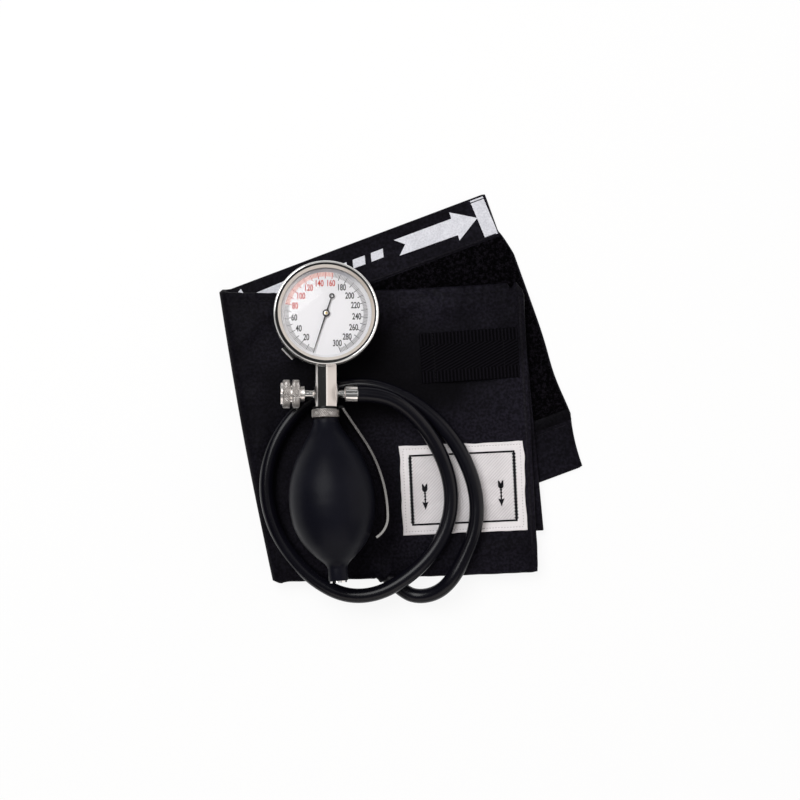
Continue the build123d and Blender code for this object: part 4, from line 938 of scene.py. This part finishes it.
tail = piece("cuff_tail_cloth", [layer(len(tail_shares), len(tail_shares), tail_face)],
             cuff_cloth, crease=75)
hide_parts("cuff_tail")

PILE_START, PILE_BAND, PILE_LENGTH, PILE_WIDTH = 12.0, 24.0, 134.0, 100.0
pile_seat = seat_at((*seam_top, CLOTH), BACK_TURN)


def pile_reach(down):
    """How long the pad is at a distance from the strip's upper edge."""
    return PILE_LENGTH + 0.94 * overhang(down) - 0.0148 * down


def pile_face(column, row, upper):
    """The pad's tufted upper face, or its flat back."""
    x = PILE_START + column * pile_reach(PILE_BAND + row) / PILE_LENGTH
    y = -PILE_BAND - row
    if not upper:
        return (x, y, 0.05)
    edge = min(column, PILE_LENGTH - column, row, PILE_WIDTH - row)
    tuft = noise.noise((x * 0.83, y * 0.91, 2)) + 0.7 * noise.noise((x * 1.7, y * 1.6, 9))
    return (x + 0.3 * noise.noise((x, y, 21)), y + 0.3 * noise.noise((y, x, 22)),
            1.65 + 0.45 * tuft - 0.9 * bell(edge, 1.2))


pile = piece("loop_pile_field", [layer(int(PILE_LENGTH) + 1, int(PILE_WIDTH) + 1, pile_face)],
             brushed_pile("loop_pile", (0.0004, 0.0003, 0.0005), (0.0075, 0.0062, 0.0090)),
             seat=pile_seat, crease=180)
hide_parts("loop_pile_pad")

# Loops of the pile that stand up where the pad can be seen, past the front panel and the tail
TUFTS, TUFT_R, TUFT_RINGS = 9000, 0.13, 5
shown_loops = random.Random(3)


def past_the_layers(x, y):
    """Whether a point of the pad lies clear of the front panel and of the tail."""
    for corner, far in ((front_far_bottom, front_far_top), (tail_corner, tail_top)):
        beside = (far - corner).cross(Vector((x, y)) - corner) / (far - corner).length
        if beside < -0.6:
            continue
        reach = (Vector((x, y)) - seam_top).length
        if y < seam_top.y + (x - seam_top.x) * sin(radians(FRONT_TURN)) - top_sag(reach) + 0.8:
            return False
    return True


def pile_loop(x, y):
    """One standing loop: a thin bent yarn with both ends in the pad."""
    turn, reach = shown_loops.uniform(0, 2 * pi), shown_loops.uniform(0.35, 0.7)
    rise, lean = shown_loops.uniform(0.4, 0.9), shown_loops.uniform(-0.3, 0.3)
    way = Vector((cos(turn), sin(turn)))
    rings = []
    for share in (ring / (TUFT_RINGS - 1) for ring in range(TUFT_RINGS)):
        spot = Vector((x, y)) + way * reach * (2 * share - 1)
        spot += Vector((-way.y, way.x)) * lean * sin(pi * share)
        rings.append([(spot.x - way.y * TUFT_R * cos(around), spot.y + way.x * TUFT_R * cos(around),
                       1.2 + rise * sin(pi * share) + TUFT_R * sin(around))
                      for around in (0, 2 * pi / 3, 4 * pi / 3)])
    return skin(rings)


loop_parts = []
for _ in range(TUFTS):
    y = -shown_loops.uniform(PILE_BAND + 0.4, PILE_BAND + PILE_WIDTH - 0.4)
    x = PILE_START + shown_loops.uniform(0.4, pile_reach(-y) - 0.7)
    spot = pile_seat @ Vector((x, y, 0))
    if past_the_layers(spot.x, spot.y):
        loop_parts.append(pile_loop(x, y))
pile_loops = piece(
    "standing_pile_loops", loop_parts,
    brushed_pile("pile_yarn", (0.0016, 0.0013, 0.0020), (0.0130, 0.0110, 0.0155)),
    seat=pile_seat, crease=180)

# Seams of the back panel along the pad, and the smooth edging under it
WELT_STEPS, WELT_ROWS = 80, 7


def welt(start, end, width, thick, ground):
    """A raised seam along a line: a low rounded ridge on its ground."""
    start, end = Vector(start), Vector(end)
    across = Vector((start.y - end.y, end.x - start.x)).normalized()

    def ridge(column, row, upper):
        side = 2 * row / (WELT_ROWS - 1) - 1
        spot = start.lerp(end, column / WELT_STEPS) + across * (side * width / 2)
        rise = thick * sqrt(max(0, 1 - side * side)) if upper else -0.15
        return (spot.x, spot.y, ground(spot.x, spot.y) + rise)
    return layer(WELT_STEPS + 1, WELT_ROWS, ridge)


def on_back(distance, down):
    """The point of the back panel at a distance from the fold and from its upper edge."""
    spot = pile_seat @ Vector((distance, -down, 0))
    return (spot.x, spot.y)


back_seams = piece("back_panel_seams", [
    welt(on_back(3, 22.4), on_back(145.2, 22.4), 1.6, 0.45, back_height),
    welt(on_back(14, 132.4), on_back(144.6, 132.4), 0.7, 0.25, back_height),
], tail_cloth)
edge_tape = piece("pile_edge_tape", [
    welt(on_back(3, 127.3), on_back(148.2, 127.3), 6.2, 0.5, back_height)],
    nylon_cloth("edge_tape", (0.0006, 0.0005, 0.0008), (0.0050, 0.0044, 0.0068), 3))

# Prints on the band beside the pile, in strip places: arrows, their end bars, a dashed line
ARROW = [(-3.4, 86.7), (2.8, 84.4), (-0.2, 78.2), (31.4, 89.4), (32.3, 86.5), (41.9, 98.7),
         (26.7, 101.7), (27.8, 98.3)]
OTHER_ARROW = [(-79.8, 57.4), (-63.0, 64.4), (-60.0, 65.2), (-54.0, 57.0)]
OTHER_END = [(-89.0, 57.0), (-86.3, 60.2), (-84.2, 57.0)]
END_BAR_S, END_BAR_T, BAR_LEAN = (138.3, 145.7), (1.9, 22.2), 0.7
END_TAB_T = (0.45, 1.35)
DASHES, DASH_LONG, DASH_HIGH, DASH_DOWN = (57.0, 67.5, 78.0), 7.0, 4.6, 10.2


def strip_box(start, end, top, low, lean=0.0):
    """Corners of an oblong on the back panel."""
    return [on_back(start, top), on_back(end, top), on_back(end + lean, low),
            on_back(start + lean, low)]


print_outlines = [
    ARROW, OTHER_ARROW, OTHER_END,
    strip_box(*END_BAR_S, *END_BAR_T, BAR_LEAN), strip_box(*END_BAR_S, *END_TAB_T),
    *(strip_box(dash, dash + DASH_LONG, DASH_DOWN - DASH_HIGH / 2, DASH_DOWN + DASH_HIGH / 2, -1.2)
      for dash in DASHES),
]
prints = piece("range_arrows", [
    fitted_print(outline, lambda x, y: back_height(x, y) + 0.06, 0.05)
    for outline in print_outlines], screen_print())

# Sewing along the front panel's edges
HEM_INSET, HEM_FROM, HEM_SHORT, HEM_STEPS = 3.6, 4, 9, 80
hem_fall = HEM_FALL * bell(HEM_INSET, HEM_ROUND)
cuff_thread = woven_thread("black_thread", (0.006, 0.005, 0.0075), (0.002, 0.0015, 0.0025), 0.8)


def hem_stitches(top):
    """A row of stitches beside the front panel's upper or lower edge."""
    down = HEM_INSET / FRONT_DEPTH if top else 1 - HEM_INSET / FRONT_DEPTH
    line = [front_spot((HEM_FROM + (FRONT_LENGTH - HEM_SHORT) * step / HEM_STEPS) / FRONT_LENGTH,
                       down) for step in range(HEM_STEPS + 1)]
    return stitches([tuple(spot) for spot in line], lambda x, y: front_height(x, y) - hem_fall,
                    2.4, 1.4, 0.34, 0.15)


sewing = piece("hem_stitches", hem_stitches(True) + hem_stitches(False), cuff_thread)
side_fold = piece("side_edge_fold", [welt(
    front_far_top.lerp(front_far_bottom, 0.05) + Vector((-2.4, 0)),
    front_far_top.lerp(front_far_bottom, 0.95) + Vector((-2.4, 0)), 1.3, 0.3,
    lambda x, y: front_height(x, y) - 0.75)], tail_cloth)

# Webbing loop: ribbed borders, a twill middle, and two rows of cross stitches
LOOP_FOOT, LOOP_CLOTH, LOOP_RISE, LOOP_RIB = 6.0, 1.1, 1.7, 6.4
RIB_PITCH, TWILL_PITCH, TWILL_SLOPE, LOOP_COLUMNS, LOOP_ROWS = 1.9, 1.62, 0.47, 209, 106
loop_seat = seat_at((*LOOP_CORNER, FRONT_TOP), LOOP_TURN)
loop_middle = front_height(*along(LOOP_CORNER, LOOP_TURN + 27, 29)) - FRONT_TOP


def loop_rise(x):
    """How high the tape's lower face stands over the cloth: it arches between its sewn feet."""
    share = clamp((x - LOOP_FOOT) / (LOOP_LENGTH - 2 * LOOP_FOOT))
    return LOOP_RISE * 4 * share * (1 - share) + max(0, loop_middle)


def loop_face(column, row, upper):
    """The tape's upper or lower face: ribbed borders and twill between."""
    x, y = column * LOOP_LENGTH / (LOOP_COLUMNS - 1), row * LOOP_WIDTH / (LOOP_ROWS - 1)
    if not upper:
        return (x, y, loop_rise(x))
    border = min(y, LOOP_WIDTH - y)
    if border < LOOP_RIB:
        rib = 0.5 + 0.5 * sin(2 * pi * x / RIB_PITCH)
        relief = 0.42 * rib * min(1, border / 0.8) * min(1, (LOOP_RIB - border) / 0.6)
    else:
        twill = 0.5 + 0.5 * sin(2 * pi * (y - x * TWILL_SLOPE) / TWILL_PITCH)
        relief = 0.34 * twill ** 1.5
    return (x, y, loop_rise(x) + LOOP_CLOTH - 0.34 + relief + 0.08 * noise.noise((x, y, 4)))


loop = piece("gauge_loop_tape", [layer(LOOP_COLUMNS, LOOP_ROWS, loop_face)], ribbed_webbing(),
             seat=loop_seat, crease=80)
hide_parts("gauge_loop")
loop_thread = piece("gauge_loop_stitches", [
    pad for place, lean in ((7.0, 18), (LOOP_LENGTH - 7.6, -18)) for pad in stitches(
        [(place, 0.9), (place, LOOP_WIDTH - 0.9)], lambda x, y: loop_rise(x) + LOOP_CLOTH - 0.05,
        1.75, 1.4, 0.4, 0.14, lean)], cuff_thread, seat=loop_seat)

# Woven label: a pale ribbon, its stitched border, a black frame, twill inside and two arrows
label_seat = seat_at((*LABEL_CORNER, 0), LABEL_TURN)
FRAME_IN, FRAME_LINE, LABEL_TWILL, LABEL_COLUMNS, LABEL_ROWS = 4.9, 1.0, 1.75, 221, 159
FRAME_TOOTH, FRAME_TOOTH_DEEP, BORDER_IN = 1.7, 0.6, 1.8


def label_ground(x, y):
    """Height of the cloth under a point of the label."""
    spot = label_seat @ Vector((x, y, 0))
    return front_height(spot.x, spot.y)


def label_face(column, row, upper):
    """The ribbon's upper or lower face, with raised twill inside the frame."""
    x = column * LABEL_LENGTH / (LABEL_COLUMNS - 1)
    y = row * LABEL_WIDTH / (LABEL_ROWS - 1)
    ground = label_ground(x, y)
    edge = min(x, LABEL_LENGTH - x, y, LABEL_WIDTH - y)
    pull = 0.8 * bell(edge, 2.5)
    pulled = (x + pull * noise.noise((x / 9, y / 9, 13)),
              y + pull * noise.noise((y / 9, x / 9, 14)))
    if not upper:
        return (*pulled, ground - 0.05)
    relief = 0.0
    if (FRAME_IN + FRAME_LINE < x < LABEL_LENGTH - FRAME_IN - FRAME_LINE
            and FRAME_IN + FRAME_LINE < y < LABEL_WIDTH - FRAME_IN - FRAME_LINE):
        relief = 0.07 * sin(2 * pi * (x - y) / LABEL_TWILL)
    relief += 0.12 * bell(edge - 0.7, 0.5) - 0.1 * bell(edge - 1.8, 0.35)
    return (*pulled, ground + 0.35 + relief)


label = piece("woven_label_ribbon", [layer(LABEL_COLUMNS, LABEL_ROWS, label_face)],
              label_satin(), seat=label_seat, crease=60)
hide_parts("woven_label")


def woven_mark(outline, lift=0.38, thick=0.14):
    """A black mark woven into the label, a little proud of its twill."""
    return fitted_print(outline, lambda x, y: label_ground(x, y) + lift, thick, 1.6)


def frame_bar(x0, y0, x1, y1):
    """One level side of the label's black frame."""
    return woven_mark([(x0, y0), (x1, y0), (x1, y1), (x0, y1)])


def toothed_bar(x0, y0, x1, y1):
    """One upright side of the frame: its weave leaves teeth along both edges."""
    teeth = round((y1 - y0) / FRAME_TOOTH)
    pitch = (y1 - y0) / teeth
    right = [(x1 + FRAME_TOOTH_DEEP * (tooth % 2), y0 + pitch * tooth / 2)
             for tooth in range(2 * teeth + 1)]
    left = [(x0 - FRAME_TOOTH_DEEP * (tooth % 2), y0 + pitch * tooth / 2)
            for tooth in range(2 * teeth, -1, -1)]
    return woven_mark(right + left)


def down_arrow(x, y):
    """A small woven arrow that points down: feathers, a knotted shaft and a head."""
    knots = [[(0, at - 0.75), (0.75, at), (0, at + 0.75), (-0.75, at)] for at in (-0.9, 0.9, 2.4)]
    return [[(x + dx, y + dy) for dx, dy in outline] for outline in (
        [(-0.35, 6.0), (-0.35, -3.0), (0.35, -3.0), (0.35, 6.0)],
        [(0, -6.5), (0.9, -4.0), (1.7, -2.2), (0, -2.7), (-1.7, -2.2), (-0.9, -4.0)],
        [(0, 2.9), (0.9, 3.4), (1.45, 4.3), (1.45, 7.6), (0.75, 7.3), (0, 5.9), (-0.75, 7.3),
         (-1.45, 7.6), (-1.45, 4.3), (-0.9, 3.4)], *knots)]


far_x, far_y = LABEL_LENGTH - FRAME_IN, LABEL_WIDTH - FRAME_IN
low, high = FRAME_IN + FRAME_LINE, far_y - FRAME_LINE
marks = piece("label_frame_and_arrows", [
    frame_bar(FRAME_IN, FRAME_IN, far_x, low), frame_bar(FRAME_IN, high, far_x, far_y),
    toothed_bar(FRAME_IN, low, low, high), toothed_bar(far_x - FRAME_LINE, low, far_x, high),
    *(woven_mark(outline, 0.40, 0.12) for place in ((12.6, 19.6), (53.4, 19.6))
      for outline in down_arrow(*place))],
    woven_thread("label_black_thread", (0.012, 0.011, 0.015), (0.003, 0.003, 0.004), 0.7),
    seat=label_seat)
border_x, border_y = LABEL_LENGTH - BORDER_IN, LABEL_WIDTH - BORDER_IN
label_thread = piece("label_border_stitches", stitches(
    [(BORDER_IN, BORDER_IN), (border_x, BORDER_IN), (border_x, border_y), (BORDER_IN, border_y),
     (BORDER_IN, BORDER_IN)], lambda x, y: label_ground(x, y) + 0.3, 1.6, 0.6, 0.4, 0.16),
    woven_thread("label_grey_thread", (0.52, 0.49, 0.50), (0.34, 0.32, 0.33), 0.6),
    seat=label_seat)

# Bulb: rubber turned to the photographed outline, with a blind bore at each end
BULB_LINE = [(6.8, -2.5), (8.7, -6.8), (12.6, -12.6), (17.4, -21.0), (20.9, -30.4),
             (22.3, -37.8), (22.6, -43.0), (22.4, -48.5), (20.9, -56.7), (16.7, -65.6),
             (10.6, -72.6), (6.6, -76.2), (5.3, -78.2), (5.1, -80.0)]
bulb_outline = [(4.3, -12.0), (4.3, -0.62), (6.5, -0.62), (6.8, -0.95)]
bulb_outline += smooth_line(BULB_LINE, 6)
bulb_outline += [(5.1, -84.9), (4.9, -85.4), (4.5, -85.5), (3.25, -85.5), (3.25, -76.0)]
bulb_rubber = moulded_rubber(
    "bulb_rubber", (0.0054, 0.0055, 0.0092), (0.0080, 0.0082, 0.0132), 0.34, 0.07)
bulb = piece("pear_bulb", [turned([(0, -12.0), *bulb_outline, (0, -76.0)], 160)], bulb_rubber,
             seat=BULB @ UP_THE_STEM)
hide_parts("bulb")


def diamond(angle, height, around, pitch):
    """Height of a crossed knurl, from 0 in its grooves to 1 on its points."""
    def ridge(turns):
        return 1 - abs(2 * (turns - floor(turns)) - 1)
    turns = around * angle / (2 * pi)
    return min(ridge(turns + height / pitch), ridge(turns - height / pitch))


def knurled_land(start, end, radius, edge):
    """Outline points along a knurled land, its edges broken."""
    heights = [start + (end - start) * row / LAND_ROWS for row in range(LAND_ROWS + 1)]
    return [(radius - max(0, edge - abs(height - start), edge - abs(end - height)), height)
            for height in heights]


def knurl(radius, around, pitch, depth):
    """Carve a crossed knurl into every point of a land near a radius."""
    def carve(angle, reach, height):
        if reach < radius - 1.2 * depth:
            return reach
        return min(reach, radius - depth * (1 - diamond(angle, height, around, pitch)))
    return carve


# Release knob: two knurled rings, a groove with notches, a collar and a slotted crown
KNOB_R, KNURL_STEPS, LAND_ROWS, SLOT_R = 7.55, 512, 36, 3.2
KNOB_RINGS = ((13.7, 17.7), (18.65, 22.65))
KNURL_AROUND, KNURL_PITCH, KNOB_DEPTH, NUT_DEPTH = 37, 1.28, 0.42, 0.40
knob_knurl = knurl(KNOB_R, KNURL_AROUND, KNURL_PITCH, KNOB_DEPTH)


def knob_carve(angle, reach, height):
    """The knob's knurl, the notches in its groove and the slots in its crown."""
    sixth = angle / (pi / 3)
    from_slot = abs(sixth - round(sixth)) * pi / 3
    if height > KNOB_RINGS[1][1] + 0.01 and reach > SLOT_R and from_slot * reach < 0.6:
        return SLOT_R
    if 4.5 > reach > 4.35:
        return reach - 0.35 * (from_slot * reach < 1.1)
    return knob_knurl(angle, reach, height)


knob_outline = [
    (0, 11.1), (4.05, 11.1), (4.25, 11.3), (4.25, 12.9), (4.05, 13.1), (3.8, 13.1), (3.8, 13.7),
    *knurled_land(*KNOB_RINGS[0], KNOB_R, 0.6), (4.4, 17.7), (4.4, 18.65),
    *knurled_land(*KNOB_RINGS[1], KNOB_R, 0.6), (6.0, 22.66), (6.0, 23.45), (5.8, 23.65),
    (0, 23.65),
]
knob_seat, nut_seat = STEM @ OUT_TO_THE_LEFT, STEM @ UP_THE_STEM
knob = piece("knurled_release_knob", [turned(knob_outline, KNURL_STEPS, knob_carve)],
             knurled_nickel("knob_nickel", knob_seat, KNOB_R, KNOB_DEPTH), body="knob",
             seat=knob_seat, crease=28)
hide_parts("release_knob")

# Bulb nut: one knurled land with turned edges
NUT_R = 7.45
nut_outline = [
    (5.05, NUT_TOP), (6.9, NUT_TOP), *reversed(knurled_land(NUT_BOTTOM, NUT_TOP, NUT_R, 0.45)),
    (6.9, NUT_BOTTOM), (4.2, NUT_BOTTOM), (4.2, -12.2), (5.05, -12.2), (5.05, NUT_TOP),
]
nut = piece("knurled_bulb_nut", [turned(
    nut_outline, KNURL_STEPS, knurl(NUT_R, KNURL_AROUND, KNURL_PITCH, NUT_DEPTH))],
    knurled_nickel("nut_nickel", nut_seat, NUT_R, NUT_DEPTH), seat=nut_seat, crease=28)
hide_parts("bulb_nut")

# Dial printing: ticks every 2 and 10, and numbers every 20
SCALE_START, SCALE_SWEEP, SCALE_FULL = 251.8, 321.5, 300
DIAL_FACE, INK = 9.8, 0.03
TICK_OUTER, TICK_FINE, TICK_LONG = 21.9, 19.6, 18.5
NUMBER_TALL, NUMBER_NARROW, NUMBER_THIN = 3.45, 0.68, 0.022
NUMBER_REACH = (16.3, 16.4, 16.8, 16.7, 15.9, 16.2, 16.3, 16.3, 16.2, 15.6, 16.0, 16.1, 16.1,
                16.4, 16.7)
RED_FROM, RED_TO = 80, 160


def scale_angle(value):
    """Where a reading stands on the dial, in degrees from +X."""
    return SCALE_START - SCALE_SWEEP * value / SCALE_FULL


def tick(value, inner, width):
    """One line of the scale."""
    turn, half = Matrix.Rotation(radians(scale_angle(value)), 2), width / 2
    corners = [turn @ Vector(corner) for corner in (
        (inner, -half), (TICK_OUTER, -half), (TICK_OUTER, half), (inner, half))]
    return slab([tuple(corner) for corner in corners], DIAL_FACE - 0.01, DIAL_FACE + INK)


def tick_band(first, last):
    """A toned arc under the fine ticks."""
    turns = [radians(scale_angle(first + (last - first) * step / 90)) for step in range(91)]
    corners = [(reach * cos(turn), reach * sin(turn)) for reach, way in (
        (TICK_OUTER, turns), (TICK_FINE, turns[::-1])) for turn in way]
    return slab(corners, DIAL_FACE - 0.01, DIAL_FACE + INK / 2)


def numeral(value):
    """A plain upright number on the dial, narrow, centred on its reading."""
    data = bpy.data.curves.new("numeral", "FONT")
    data.body, data.align_x, data.align_y, data.extrude = str(value), "CENTER", "CENTER", 0.5
    data.offset = NUMBER_THIN
    text = bpy.data.objects.new("numeral", data)
    mesh = bpy.data.meshes.new_from_object(text)
    xs = [vertex.co.x for vertex in mesh.vertices]
    ys = [vertex.co.y for vertex in mesh.vertices]
    tall = NUMBER_TALL / (max(ys) - min(ys))
    middle = ((max(xs) + min(xs)) / 2, (max(ys) + min(ys)) / 2)
    spot = along((0, 0), scale_angle(value), NUMBER_REACH[value // 20 - 1])
    points = [
        (spot.x + (vertex.co.x - middle[0]) * tall * NUMBER_NARROW,
         spot.y + (vertex.co.y - middle[1]) * tall,
         DIAL_FACE + INK / 2 + vertex.co.z * INK)
        for vertex in mesh.vertices
    ]
    faces = [tuple(face.vertices) for face in mesh.polygons]
    bpy.data.objects.remove(text)
    bpy.data.meshes.remove(mesh)
    return points, faces


ink_grey = painted("grey_ink", (0.018, 0.017, 0.018), 0.5)
ink_red = painted("red_ink", (0.55, 0.035, 0.02), 0.5)
numbers = range(20, SCALE_FULL + 1, 20)
tens = range(0, SCALE_FULL + 1, 10)
fine = [value for value in range(0, SCALE_FULL + 1, 2) if value % 10]
for name, in_red, values, mark, ink in (
        ("dial_numbers", False, numbers, numeral, ink_grey),
        ("dial_red_numbers", True, numbers, numeral, ink_red),
        ("dial_long_ticks", False, tens, lambda value: tick(value, TICK_LONG, 0.34), ink_grey),
        ("dial_red_ticks", True, tens, lambda value: tick(value, TICK_LONG, 0.34), ink_red),
        ("dial_fine_ticks", False, fine, lambda value: tick(value, TICK_FINE, 0.32),
         painted("fine_grey_ink", (0.32, 0.31, 0.32), 0.5)),
        ("dial_fine_red_ticks", True, fine, lambda value: tick(value, TICK_FINE, 0.28),
         painted("fine_red_ink", (0.78, 0.30, 0.25), 0.5))):
    piece(name, [mark(value) for value in values if (RED_FROM <= value <= RED_TO) == in_red],
          ink, seat=GAUGE)
piece("dial_tick_bands", [tick_band(0, RED_FROM - 1), tick_band(RED_TO + 1, SCALE_FULL)],
      painted("toned_grey_ink", (0.68, 0.67, 0.69), 0.5), seat=GAUGE)
piece("dial_red_tick_band", [tick_band(RED_FROM - 1, RED_TO + 1)],
      painted("toned_red_ink", (0.85, 0.68, 0.65), 0.5), seat=GAUGE)

# Finishes of the model's own parts
NODE_FINISHES = {
    block_chrome(): ["valve_block"],
    plated("bright_chrome", (0.83, 0.82, 0.81), 0.06, 0.02): [
        "valve_bush", "hose_nipple", "hose_ferrule", "inlet_valve", "gauge_case", "rear_cover"],
    ringed_chrome(): ["bezel_ring"],
    spoon_steel(): ["palm_spoon"],
    plated("dull_nickel", (0.36, 0.35, 0.345), 0.42, 0.03): ["hook_clip"],
    # The outlet valve in the bulb's opening is painted near black, a painted shade
    painted("brass_dark_for_painted_shade", (0.02, 0.018, 0.015), 0.5): ["outlet_valve"],
    machined("turned_steel", (0.60, 0.60, 0.60), 0.25): [
        "valve_spindle", "movement_screws", "rocking_shaft"],
    machined("turned_brass", (0.72, 0.55, 0.28), 0.28): [
        "neck_nut", "base_plate", "air_socket", "capsule_stud", "movement_plate", "long_pillars",
        "movement_bridge", "sector_gear", "pinion_arbor", "hairspring_stud"],
    ringed_hub(): ["pointer_hub"],
    machined("rolled_bronze", (0.66, 0.47, 0.27), 0.25): ["capsule", "hairspring"],
    painted("seal_rubber", (0.05, 0.05, 0.05), 0.6): [
        "valve_seal", "outlet_flap", "inlet_flap", "crystal_gasket"],
    painted("washer_plastic", (0.08, 0.08, 0.08), 0.5): ["neck_washer"],
    dial_paint("dial_paint", (0.88, 0.87, 0.895), (0.76, 0.75, 0.775), 4, 24): ["dial_plate"],
    dial_paint("pale_surround", (0.84, 0.835, 0.86), (0.42, 0.42, 0.455), 12, 22): [
        "dial_surround"],
    painted("black_lacquer", (0.003, 0.003, 0.004), 0.5): ["pointer"],
    clear_glass(): ["crystal"],
}
for finish, names in NODE_FINISHES.items():
    for name in names:
        for material_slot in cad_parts[name].material_slots:
            material_slot.material = finish
